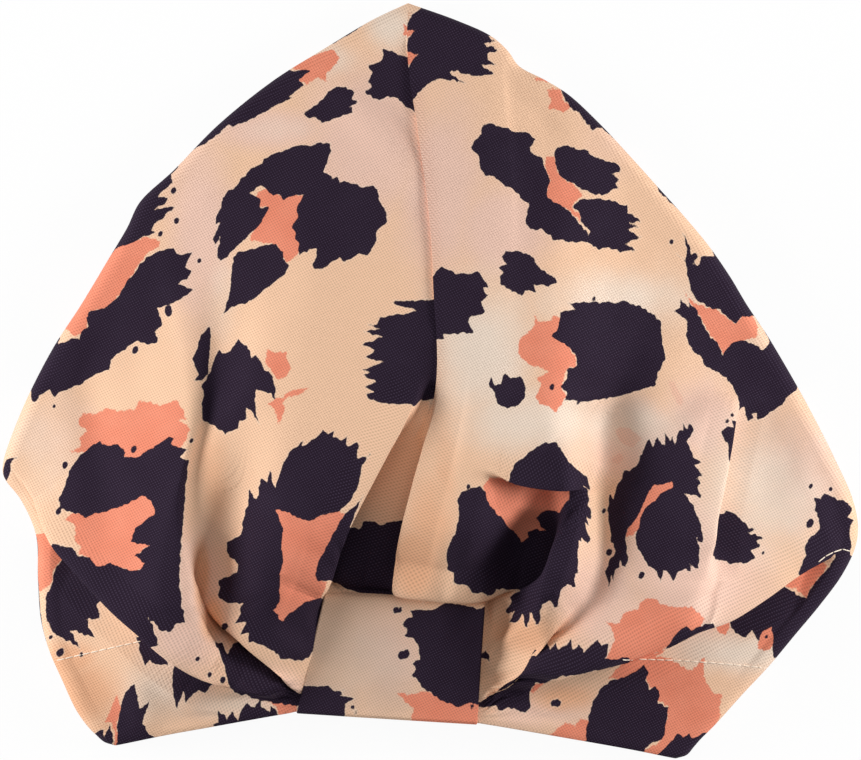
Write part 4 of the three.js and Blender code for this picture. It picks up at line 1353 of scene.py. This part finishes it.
def plain_material(name, base, roughness, specular=0.4):
    """A plain colour with fine specks."""
    material, tree = new_material(name)
    shader = tree.nodes["Principled BSDF"]
    shader.inputs["Roughness"].default_value = roughness
    shader.inputs["Specular IOR Level"].default_value = specular
    place = add_node(tree, "ShaderNodeTexCoord").outputs["Object"]
    speck = noise_node(tree, place, SPECK_SCALE, 3)
    darker = (*(SPECK_SHADE * part for part in base[:3]), 1)
    tree.links.new(mix_colours(tree, speck, base, darker), shader.inputs["Base Color"])
    bump = add_node(tree, "ShaderNodeBump", {"Strength": 0.2, "Distance": 0.0003, "Height": speck})
    tree.links.new(bump.outputs[0], shader.inputs["Normal"])
    return material


CLOTH = printed_cloth()
FILM = plain_material("lining_film", FILM_WHITE, 0.35)
ELASTIC = plain_material("elastic_weave", ELASTIC_WHITE, 0.8, 0.2)
THREAD = plain_material("thread", THREAD_CREAM, 0.6)


# Crown panels


@dataclass
class Panel:
    """The front of a crown panel after its folds."""

    fan: Fan
    points: np.ndarray
    sides: dict


# Millimetres from the rim and share of the way to the side in which the folds die away
RIM_CALM = 7
SIDE_CALM = 0.93

# Fine gathers beside the loop
GATHER_HEIGHT = 0.9
GATHER_REACH = 12
GATHER_START = 4
GATHER_TURN = 23

# Height and size of the cloth's soft wrinkles, and how far the joined seam pulls at the cloth
WRINKLES = ((0.7, 26), (0.35, 11))
SEAM_REACH = 7


def fold_front(side):
    """Lays the folds into the front of one half."""
    fan = Fan(side)
    columns, rows = fan.height.shape
    flat = fan.plan.reshape(-1, 2)
    part = np.broadcast_to(fan.part, (columns, rows)).ravel()
    calm = smoothstep(part, 1, SIDE_CALM)
    calm[np.tile(np.arange(rows) < LOOP_ROWS, columns)] = 0
    from_rim = np.linalg.norm(fan.plan - fan.plan[0], axis=2).ravel()
    calm *= smoothstep(from_rim, 0, RIM_CALM)
    shift = np.zeros_like(flat)
    lift = np.zeros(len(flat))
    sides = {}
    for name, fold in {**side.folds, "seam": SEAM_FOLD, "seam_line": SEAM_LINE}.items():
        fold_shift, fold_lift, sides[name] = apply_fold(fold, flat)
        shift += fold_shift
        lift += fold_lift
    for ridge in side.ridges:
        lift += apply_ridge(ridge, flat)
    for height, size in WRINKLES:
        lift += height * rough_noise(flat, size)
    leave = fan.plan[:, LOOP_ROWS]
    away = np.linalg.norm(fan.plan - leave[:, None, :], axis=2)
    ripple = np.sin(fan.places * GATHER_TURN)[:, None] * np.exp(-away / GATHER_REACH)
    lift += GATHER_HEIGHT * (ripple * smoothstep(away, 0, GATHER_START)).ravel()
    points = np.empty((columns, rows, 3))
    points[..., :2] = (flat + shift * calm[:, None]).reshape(columns, rows, 2)
    points[..., 2] = fan.height + (lift * calm).reshape(columns, rows)
    return Panel(fan, points, sides)


def join_seam(left, right):
    """Brings both panels to the same line along the centre seam, in plan to the right one's."""
    line = right.points[-1].copy()
    line[:, 2] = (left.points[-1, :, 2] + line[:, 2]) / 2
    for panel in (left, right):
        away = np.linalg.norm(panel.fan.plan - panel.fan.plan[-1], axis=2)
        share = np.exp(-((away / SEAM_REACH) ** 2))
        panel.points += (line - panel.points[-1])[None] * share[..., None]


ROLL_PRINT = 1.1


def roll_rows(fan):
    """Points and print places of the side fold, from its top to the back."""
    angles = np.pi * (0.5 - np.arange(1, ROLL_ROWS + 1) / ROLL_ROWS)
    reach = fan.radius[:, None] * ROLL_SHARE
    level = fan.radius[:, None]
    plan_points = fan.foot[:, None, :] + fan.out[:, None, :] * (reach * np.cos(angles))[..., None]
    heights = level + (level - BACK_LIFT) * np.sin(angles)
    arc = np.arange(1, ROLL_ROWS + 1) / ROLL_ROWS * ROLL_PRINT * fan.radius[:, None]
    printed = fan.foot[:, None, :] + fan.out[:, None, :] * arc[..., None]
    return np.concatenate([plan_points, heights[..., None]], axis=2), printed


# Ruffles of the back rim: their drift along the rim as turns and lengths, and how even they are
RUFFLE_HEIGHT = 2.4
RUFFLE_LENGTH = 12
RUFFLE_DRIFT = ((2.2, 17), (1, 7.3))
RUFFLE_EVEN = 0.7
RUFFLE_UNEVEN = 0.3
RUFFLE_SWING = 11
RUFFLE_SPREAD = 22
RUFFLE_STARTS = 0.06


def ruffle(x, near):
    """Lift of the cloth that the elastic draws up, at a place along the back rim and a nearness to it."""
    turn = 2 * np.pi * x / RUFFLE_LENGTH
    for amount, length in RUFFLE_DRIFT:
        turn = turn + amount * np.sin(x / length)
    wave = 0.5 + 0.5 * np.sin(turn)
    return RUFFLE_HEIGHT * near * wave * (RUFFLE_EVEN + RUFFLE_UNEVEN * np.sin(x / RUFFLE_SWING))


def back_rows(fan):
    """Points of the back, from the side fold to the back rim."""
    part = np.arange(1, BACK_ROWS + 1) / BACK_ROWS
    rim = fan.outline.back_rim(fan.share)
    plan_points = mix(fan.foot[:, None, :], rim[:, None, :], part[None, :, None])
    away = np.linalg.norm(plan_points - rim[:, None, :], axis=2)
    near = np.exp(-away / RUFFLE_SPREAD) * smoothstep(fan.share, 0, RUFFLE_STARTS)[:, None]
    heights = BACK_LIFT + ruffle(rim[:, None, 0], near)
    return np.concatenate([plan_points, heights[..., None]], axis=2)


CURL_RADIUS = 0.7
CURL_CLEARANCE = 0.1
CURL_LOOKS_IN = 4


def hem_curl(points):
    """Columns that turn the front rim's cloth under."""
    rim = points[0]
    inward = points[CURL_LOOKS_IN] - rim
    inward[:, 2] = 0
    inward = unit(inward)
    radius = np.minimum(CURL_RADIUS, (rim[:, 2] - CURL_CLEARANCE) / 2)
    curl = []
    for step in range(CURL_COLUMNS, 0, -1):
        angle = np.pi * step / CURL_COLUMNS
        column = rim - inward * (radius * np.sin(angle))[:, None]
        column[:, 2] -= radius * (1 - np.cos(angle))
        curl.append(column)
    return np.array(curl)


SEAM_TICKS = 2.2


def panel_sides(panel):
    """On which side of each fold the front's points lie, carried on round the side fold."""
    columns, rows, _ = panel.points.shape
    sides = {}
    for fold, distance in panel.sides.items():
        front = distance.reshape(columns, rows)
        sides[fold] = np.concatenate([front, np.repeat(front[:, -1:], ROLL_ROWS, axis=1)], axis=1).ravel()
    return sides


def crown_attributes(panel, side, rolled_print, back):
    """Print of a crown panel's front and side fold, and of its back, column by column."""
    fan = panel.fan
    columns, front_rows, _ = panel.points.shape
    front_plan = panel.points[..., :2]
    shown = np.concatenate([front_plan, rolled_print], axis=1).reshape(-1, 2)
    woven = np.concatenate([(fan.plan + front_plan) / 2, rolled_print], axis=1).reshape(-1, 2)
    front = print_attributes(shown, woven, side.dark, side.coral, side.dots, panel_sides(panel))
    behind = back_attributes(back[..., :2].reshape(-1, 2))
    attributes = {}
    for key in front:
        halves = [values.reshape(columns, -1, 3) for values in (front[key], behind[key])]
        attributes[key] = np.concatenate(halves, axis=1)
    away = np.linalg.norm(fan.plan - fan.plan[-1], axis=2)
    # Strength of the seam's pucker ticks on the right panel, bumps and painted shade
    attributes["tone_and_shade"][:, :front_rows, 1] = np.exp(-away / SEAM_TICKS) * (side.sign > 0)
    return attributes


def build_crown(name, panel, side):
    """A crown panel: front, side fold and back in one cloth."""
    roll, rolled_print = roll_rows(panel.fan)
    back = back_rows(panel.fan)
    grid = np.concatenate([panel.points, roll, back], axis=1)
    attributes = crown_attributes(panel, side, rolled_print, back)
    for key, values in attributes.items():
        curled = np.repeat(values[:1], CURL_COLUMNS, axis=0)
        attributes[key] = np.concatenate([curled, values]).reshape(-1, 3)
    grid = np.concatenate([hem_curl(grid), grid])
    quads = grid_faces(len(grid), grid.shape[1], side.sign < 0)
    return make_mesh(name, grid.reshape(-1, 3), quads, CLOTH, attributes)


left_panel = fold_front(LEFT)
right_panel = fold_front(RIGHT)
join_seam(left_panel, right_panel)
left_crown = build_crown("left_crown", left_panel, LEFT)
right_crown = build_crown("right_crown", right_panel, RIGHT)


# Lining and facing


class HeightMap:
    """Lowest height of the crown's front round each place of the plan, for what lies inside it."""

    CELL = 2
    REACH = 4
    HALF = 90

    def __init__(self, panels):
        heights = np.full((2 * self.HALF + 1, 2 * self.HALF + 1), np.inf)
        for panel in panels:
            points = panel.points.reshape(-1, 3)
            columns, rows = self.cells(points[:, :2])
            np.minimum.at(heights, (columns, rows), points[:, 2])
        lowest = heights.copy()
        for axis in (0, 1):
            base = lowest.copy()
            for step in range(-self.REACH, self.REACH + 1):
                lowest = np.minimum(lowest, np.roll(base, step, axis=axis))
        self.heights = np.where(np.isfinite(lowest), lowest, 0)

    def cells(self, places):
        cells = np.rint(places / self.CELL).astype(int) + self.HALF
        return cells[..., 0], cells[..., 1]

    def at(self, places):
        """Heights at places of the plan, smooth between the cells."""
        spot = places / self.CELL + self.HALF
        low = np.floor(spot).astype(int)
        part = spot - low
        x, y = low[..., 0], low[..., 1]
        across = part[..., 0]
        before = mix(self.heights[x, y], self.heights[x + 1, y], across)
        after = mix(self.heights[x, y + 1], self.heights[x + 1, y + 1], across)
        return mix(before, after, part[..., 1])


INNER_FLOOR = 4
LINING_STEP = 4
LINING_ROLL = 9
LINING_INSET = 1
LINING_BACK_STARTS = 3
LINING_BACK_LIFT = 1
FACING_STEP = 3
FACING_COLUMNS = 22

crown_floor = HeightMap((left_panel, right_panel))


def every(count, step):
    """Every so many of a row of places, and its last."""
    return np.unique(np.append(np.arange(0, count, step), count - 1))


def build_lining(name, panel, side):
    """Waterproof film inside a panel, under its folds and along its back."""
    fan = panel.fan
    chosen = every(fan.plan.shape[0], LINING_STEP)
    places = fan.plan[np.ix_(chosen, every(fan.plan.shape[1], LINING_STEP))]
    heights = np.maximum(crown_floor.at(places) - LINING_DEPTH, INNER_FLOOR)
    front = np.concatenate([places, heights[..., None]], axis=2)
    angles = np.pi * (0.5 - np.arange(1, LINING_ROLL) / LINING_ROLL)
    radius = fan.radius[chosen, None] - LINING_DEPTH
    inset = fan.radius[chosen, None] * ROLL_SHARE - LINING_INSET
    turn = fan.foot[chosen, None, :] + fan.out[chosen, None, :] * (inset * np.cos(angles))[..., None]
    heights = fan.radius[chosen, None] + radius * np.sin(angles)
    roll = np.concatenate([turn, heights[..., None]], axis=2)
    back = back_rows(fan)[chosen][:, LINING_BACK_STARTS:]
    back[..., 2] += LINING_BACK_LIFT
    grid = np.concatenate([front, roll, back], axis=1)
    quads = grid_faces(len(grid), grid.shape[1], side.sign < 0)
    return make_mesh(name, grid.reshape(-1, 3), quads, FILM)


def build_facing(name, panel, side):
    """Printed cloth inside the front hem, from the rim inwards."""
    fan = panel.fan
    lengths = np.linalg.norm(np.diff(fan.plan, axis=0), axis=2)
    away = np.concatenate([np.zeros((1, lengths.shape[1])), np.cumsum(lengths, axis=0)])
    rows = np.arange(0, fan.plan.shape[1], FACING_STEP)
    places = np.linspace(0, 1, FACING_COLUMNS)
    grid = np.empty((len(places), len(rows), 3))
    for index, row in enumerate(rows):
        depth = min(HEM_DEPTH, away[-1, row])
        for axis in range(2):
            grid[:, index, axis] = np.interp(places * depth, away[:, row], fan.plan[:, row, axis])
        grid[:, index, 2] = np.maximum(crown_floor.at(grid[:, index, :2]) - FACING_DEPTH, INNER_FLOOR)
    attributes = back_attributes(grid[..., :2].reshape(-1, 2))
    quads = grid_faces(len(places), len(rows), side.sign > 0)
    return make_mesh(name, grid.reshape(-1, 3), quads, CLOTH, attributes)


left_lining = build_lining("left_lining", left_panel, LEFT)
right_lining = build_lining("right_lining", right_panel, RIGHT)
left_facing = build_facing("left_facing", left_panel, LEFT)
right_facing = build_facing("right_facing", right_panel, RIGHT)


# Back casing and its elastic


BAND_STARTS = 0.1
BAND_POINTS = 160
BAND_CORNERS = 24
CASING_HEIGHTS = (1.6, 5.2)
ELASTIC_HEIGHTS = (2.6, 4.2)


def back_rim_line(count):
    """The back rim from the left hem corner to the right one."""
    share = np.linspace(BAND_STARTS, 1, count)
    left = left_panel.fan.outline.back_rim(share)
    right = right_panel.fan.outline.back_rim(share)[::-1]
    return smooth_line(np.vstack([left, right[1:]]), 2 * count)


def ring_faces(count, around, capped):
    """Quads of a tube whose rings have that many points, with closed ends if capped."""
    first = np.arange(count - 1)[:, None] * around
    here = np.arange(around)[None, :]
    beside = (here + 1) % around
    corners = (first + here, first + around + here, first + around + beside, first + beside)
    quads = [np.stack(corners, axis=-1).reshape(-1, 4)]
    if capped:
        step = np.arange(around // 2 - 1)
        end = np.stack([step, step + 1, around - 2 - step, around - 1 - step], axis=1)
        quads += [end, end[:, ::-1] + (count - 1) * around]
    return np.concatenate(quads)


def build_band(name, material, width, heights, printed):
    """A flat tube along the back rim, with the elastic's ruffles. The printed one is open at its ends."""
    line = back_rim_line(BAND_POINTS)
    run = unit(np.gradient(line, axis=0))
    inward = np.stack([-run[:, 1], run[:, 0]], axis=1)
    around = np.linspace(0, 2 * np.pi, BAND_CORNERS, endpoint=False)
    across = CASING_WIDTH / 2 + width / 2 * np.cos(around)
    upright = mix(*heights, 0.5 + 0.5 * np.sin(around))
    grid = np.empty((len(line), len(around), 3))
    grid[..., :2] = line[:, None, :] + inward[:, None, :] * across[None, :, None]
    near = np.exp(-across / RUFFLE_SPREAD)[None, :]
    grid[..., 2] = upright[None, :] + ruffle(line[:, None, 0], near)
    attributes = back_attributes(grid[..., :2].reshape(-1, 2)) if printed else {}
    quads = ring_faces(len(line), len(around), not printed)
    return make_mesh(name, grid.reshape(-1, 3), quads, material, attributes)


casing = build_band("casing", CLOTH, CASING_WIDTH, CASING_HEIGHTS, True)
elastic = build_band("elastic", ELASTIC, ELASTIC_WIDTH, ELASTIC_HEIGHTS, False)


# Loop


# Side view of the loop: places up it, and heights above or below the gathered cloth in its middle
LOOP_TOP = ((1, -1.5), (0.97, 1))
LOOP_FRONT = np.linspace(0.92, 0.03, 40)
LOOP_FRONT_LIFT = 1.6
LOOP_BEND = np.radians(np.linspace(90, -90, 14))
LOOP_BEND_REACH = 0.03
LOOP_BEND_DROP = 1.2
LOOP_BEND_RADIUS = 2.9
LOOP_BACK = np.linspace(0.05, 0.86, 20)
LOOP_BACK_DROP = 4.4

# The front's swell and wrinkles, each with the share of the width in which it dies away at the sides
LOOP_COLUMNS = 90
LOOP_FRONT_ROWS = 50
LOOP_SWELL = 1.2
LOOP_SWELL_EDGE = 0.25
LOOP_WRINKLE = 0.35
LOOP_WRINKLE_SIZE = 9
LOOP_WRINKLE_EDGE = 0.15
LOOP_SIDE_ANGLES = (45, 90, 135)


def loop_profile():
    """Side view of the loop, from its top down the front, round the rim and up inside."""
    profile = [(place, RIM_LIFT + LOOP_CLIMB + height) for place, height in LOOP_TOP]
    profile += [(place, RIM_LIFT + LOOP_CLIMB * place + LOOP_FRONT_LIFT) for place in LOOP_FRONT]
    for turn in LOOP_BEND:
        height = RIM_LIFT - LOOP_BEND_DROP + LOOP_BEND_RADIUS * math.sin(turn)
        profile.append((-LOOP_BEND_REACH * math.cos(turn), height))
    profile += [(place, RIM_LIFT - LOOP_BACK_DROP + LOOP_CLIMB * place) for place in LOOP_BACK]
    return np.array(profile)


def rounded_edge(outer, inner, out, angles):
    """Columns that close a side of the loop between its outer and its inner face."""
    middle = (outer + inner) / 2
    half = (outer - inner) / 2
    columns = []
    for turn in np.radians(angles):
        columns.append(middle + half * math.cos(turn) + out * LOOP_THICKNESS / 4 * math.sin(turn))
    return np.array(columns)


def build_loop():
    """The folded cloth band that gathers the pleats, round the rim and up inside."""
    profile = loop_profile()
    across = np.linspace(0, 1, LOOP_COLUMNS)
    plan_points = loop_point(*np.broadcast_arrays(across[:, None], profile[None, :, 0]))
    edge = np.minimum(across, 1 - across)[:, None]
    front = np.arange(len(profile))[None, :] < LOOP_FRONT_ROWS
    swell = np.where(front, LOOP_SWELL * smoothstep(edge, 0, LOOP_SWELL_EDGE), 0)
    rough = rough_noise(plan_points.reshape(-1, 2), LOOP_WRINKLE_SIZE).reshape(swell.shape)
    wrinkle = LOOP_WRINKLE * rough * smoothstep(edge, 0, LOOP_WRINKLE_EDGE)
    heights = profile[None, :, 1] + swell + wrinkle * front
    outer = np.concatenate([plan_points, heights[..., None]], axis=2)
    normal = unit(np.cross(np.gradient(outer, axis=1), np.gradient(outer, axis=0)))
    inner = outer - normal * LOOP_THICKNESS / 2
    right_edge = rounded_edge(outer[-1], inner[-1], unit(outer[-1] - outer[-2]), LOOP_SIDE_ANGLES)
    left_edge = rounded_edge(outer[0], inner[0], unit(outer[0] - outer[1]), LOOP_SIDE_ANGLES[::-1])
    grid = np.concatenate([outer, right_edge, inner[::-1], left_edge, outer[:1]])
    flat = grid[..., :2].reshape(-1, 2)
    attributes = print_attributes(flat, flat, LOOP_DARK, LOOP_CORAL, LOOP_DOTS, on_loop=True)
    quads = grid_faces(len(grid), grid.shape[1], False)
    return make_mesh("loop", grid.reshape(-1, 3), quads, CLOTH, attributes)


loop = build_loop()


# Topstitch


# A stitch and the gap after it, in millimetres and in points along its row
STITCH_LENGTH = 2.2
STITCH_GAP = 0.7
STITCH_POINTS = 12
STITCH_SHOWN = 9
STITCH_RADIUS = 0.22
STITCH_CORNERS = 8
STITCH_STATIONS = ((-0.1, 0.35), (0.0, 0.9), (0.5, 1.0), (1.0, 0.9), (1.1, 0.35))
ROW_POINTS = 100

# In metres
ABOVE_ALL = 0.2
STITCH_LIFT = Vector((0, 0, 0.0001))


def surface_trees(*pieces):
    """Search trees of the pieces' faces, for finding the cloth under a place."""
    trees = []
    for piece in pieces:
        points = [vertex.co for vertex in piece.data.vertices]
        trees.append(BVHTree.FromPolygons(points, [polygon.vertices for polygon in piece.data.polygons]))
    return trees


def cloth_top(trees, x, y):
    """The highest point of the cloth at a place in metres, or None beside it."""
    hits = [tree.ray_cast(Vector((x, y, ABOVE_ALL)), Vector((0, 0, -1)))[0] for tree in trees]
    return max((hit for hit in hits if hit is not None), key=lambda hit: hit.z, default=None)


def capsule(start, end, radius):
    """Points and faces of one stitch, a short rounded bar."""
    axis = (end - start).normalized()
    side = axis.orthogonal().normalized()
    other = axis.cross(side)
    points = []
    for place, size in STITCH_STATIONS:
        centre = start.lerp(end, place)
        for corner in range(STITCH_CORNERS):
            turn = math.tau * corner / STITCH_CORNERS
            points.append(centre + (side * math.cos(turn) + other * math.sin(turn)) * radius * size)
    faces = []
    for ring in range(len(STITCH_STATIONS) - 1):
        first = ring * STITCH_CORNERS
        for corner in range(STITCH_CORNERS):
            here = first + corner
            beside = first + (corner + 1) % STITCH_CORNERS
            faces.append((here, beside, beside + STITCH_CORNERS, here + STITCH_CORNERS))
    return points, faces


def build_stitches(name, trees):
    """The hem's topstitch, a row of bars on the cloth."""
    points = []
    faces = []
    for row in STITCH_ROWS:
        rough = plan(row)
        length = line_length(smooth_line(rough, ROW_POINTS))
        count = int(length / (STITCH_LENGTH + STITCH_GAP))
        line = smooth_line(rough, count * STITCH_POINTS + 1) * METRE
        for first in range(0, count * STITCH_POINTS, STITCH_POINTS):
            ends = [cloth_top(trees, *line[place]) for place in (first, first + STITCH_SHOWN)]
            if None not in ends:
                start, end = (top + STITCH_LIFT for top in ends)
                bar, bar_faces = capsule(start, end, STITCH_RADIUS * METRE)
                faces += [tuple(len(points) + corner for corner in face) for face in bar_faces]
                points += bar
    return make_mesh(name, np.array(points) / METRE, np.array(faces), THREAD)


stitches = build_stitches("topstitch", surface_trees(left_crown, right_crown))


# Frame

# Piece, node, slot, cut size and area in metres, and how the cloth is held
SHEETS = (
    (left_crown, "left_crown_panel", "printed_cloth", (0.26, 0.3), 0.07, "gathered"),
    (right_crown, "right_crown_panel", "printed_cloth", (0.26, 0.3), 0.07, "gathered"),
    (left_lining, "left_lining_panel", "lining_film", (0.25, 0.29), 0.062, "gathered"),
    (right_lining, "right_lining_panel", "lining_film", (0.25, 0.29), 0.062, "gathered"),
    (left_facing, "left_front_facing", "printed_cloth", (0.033, 0.12), None, "gathered"),
    (right_facing, "right_front_facing", "printed_cloth", (0.033, 0.12), None, "gathered"),
    (casing, "back_casing", "printed_cloth", (0.014, 0.19), None, "gathered"),
    (elastic, "elastic_band", "elastic_weave", (0.01, 0.19), None, "stretched"),
    (loop, "front_loop", "printed_cloth", (0.12, 0.09), None, "folded"),
)
for piece, node, slot, cut, area, held in SHEETS:
    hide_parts(node)
    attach(piece, "root")
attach(stitches, "root")


# Floor, light and camera

# In metres, apart from the height of the cap's edge, which is in millimetres
CAMERA_DISTANCE = 6
EDGE_HEIGHT = 8
SENSOR_WIDTH = 36
FLOOR_HALF = 15
FLOOR_BASE = (0.9, 0.9, 0.9, 1)
FLOOR_GLOW = 0.95
WORLD_LIGHT = 0.24

# Name, place and size in metres, and power
LAMPS = (
    ("left", (-1.05, 0.04, 0.45), 0.5, 11.2),
    ("right", (1.05, 0.08, 0.45), 0.5, 11.2),
    ("above", (0.05, 0.4, 1.35), 0.7, 2.1),
)


def seen_directly(tree):
    """1 for rays from the camera, also by way of a reflection or through a clear thing, and 0 for light."""
    path = add_node(tree, "ShaderNodeLightPath")
    seen = math_node(tree, "MAXIMUM", path.outputs["Is Camera Ray"], path.outputs["Is Glossy Ray"])
    return math_node(tree, "MAXIMUM", seen, path.outputs["Is Transmission Ray"])


def white_floor():
    """White to the camera, with a little of the cap's shadow left in."""
    material, tree = new_material("white_floor")
    shader = tree.nodes["Principled BSDF"]
    shader.inputs["Base Color"].default_value = FLOOR_BASE
    shader.inputs["Roughness"].default_value = 0.9
    glow = add_node(tree, "ShaderNodeEmission", {"Color": WHITE, "Strength": 1.0})
    blend = add_node(tree, "ShaderNodeMixShader", {0: scaled(tree, seen_directly(tree), FLOOR_GLOW)})
    tree.links.new(shader.outputs[0], blend.inputs[1])
    tree.links.new(glow.outputs[0], blend.inputs[2])
    tree.links.new(blend.outputs[0], tree.nodes["Material Output"].inputs["Surface"])
    return material


def build_stage():
    corners = np.array([(-1, -1, 0), (1, -1, 0), (1, 1, 0), (-1, 1, 0)]) * FLOOR_HALF / METRE
    floor = make_mesh("floor", corners, np.array([(0, 1, 2, 3)]), white_floor())


def add_lamp(name, place, size, power):
    lamp = bpy.data.lights.new(name, "AREA")
    lamp.size = size
    lamp.energy = power
    item = bpy.data.objects.new(name, lamp)
    item.location = place
    item.rotation_euler = (-Vector(place)).to_track_quat("-Z", "Y").to_euler()
    item.visible_camera = False
    bpy.context.scene.collection.objects.link(item)


def light_scene():
    """An even world that is white to the camera, and the lamps."""
    world = bpy.data.worlds.new("studio")
    world.use_nodes = True
    tree = world.node_tree
    background = tree.nodes["Background"]
    extra = scaled(tree, seen_directly(tree), 1 - WORLD_LIGHT)
    tree.links.new(summed(tree, extra, WORLD_LIGHT), background.inputs["Strength"])
    background.inputs["Color"].default_value = WHITE
    bpy.context.scene.world = world
    for lamp in LAMPS:
        add_lamp(*lamp)


def place_camera():
    """Straight above, so that the picture's width takes in the photograph's at the cap's edge."""
    lens = bpy.data.cameras.new("camera")
    lens.sensor_width = SENSOR_WIDTH
    width = PICTURE_WIDTH * PIXEL * METRE
    lens.lens = lens.sensor_width * (CAMERA_DISTANCE - EDGE_HEIGHT * METRE) / width
    camera = bpy.data.objects.new("camera", lens)
    x, y = plan((PICTURE_WIDTH / 2, PICTURE_HEIGHT / 2)) * METRE
    camera.location = (x, y, CAMERA_DISTANCE)
    bpy.context.scene.collection.objects.link(camera)
    bpy.context.scene.camera = camera


build_stage()
light_scene()
place_camera()
bpy.context.scene.view_settings.view_transform = "Standard"
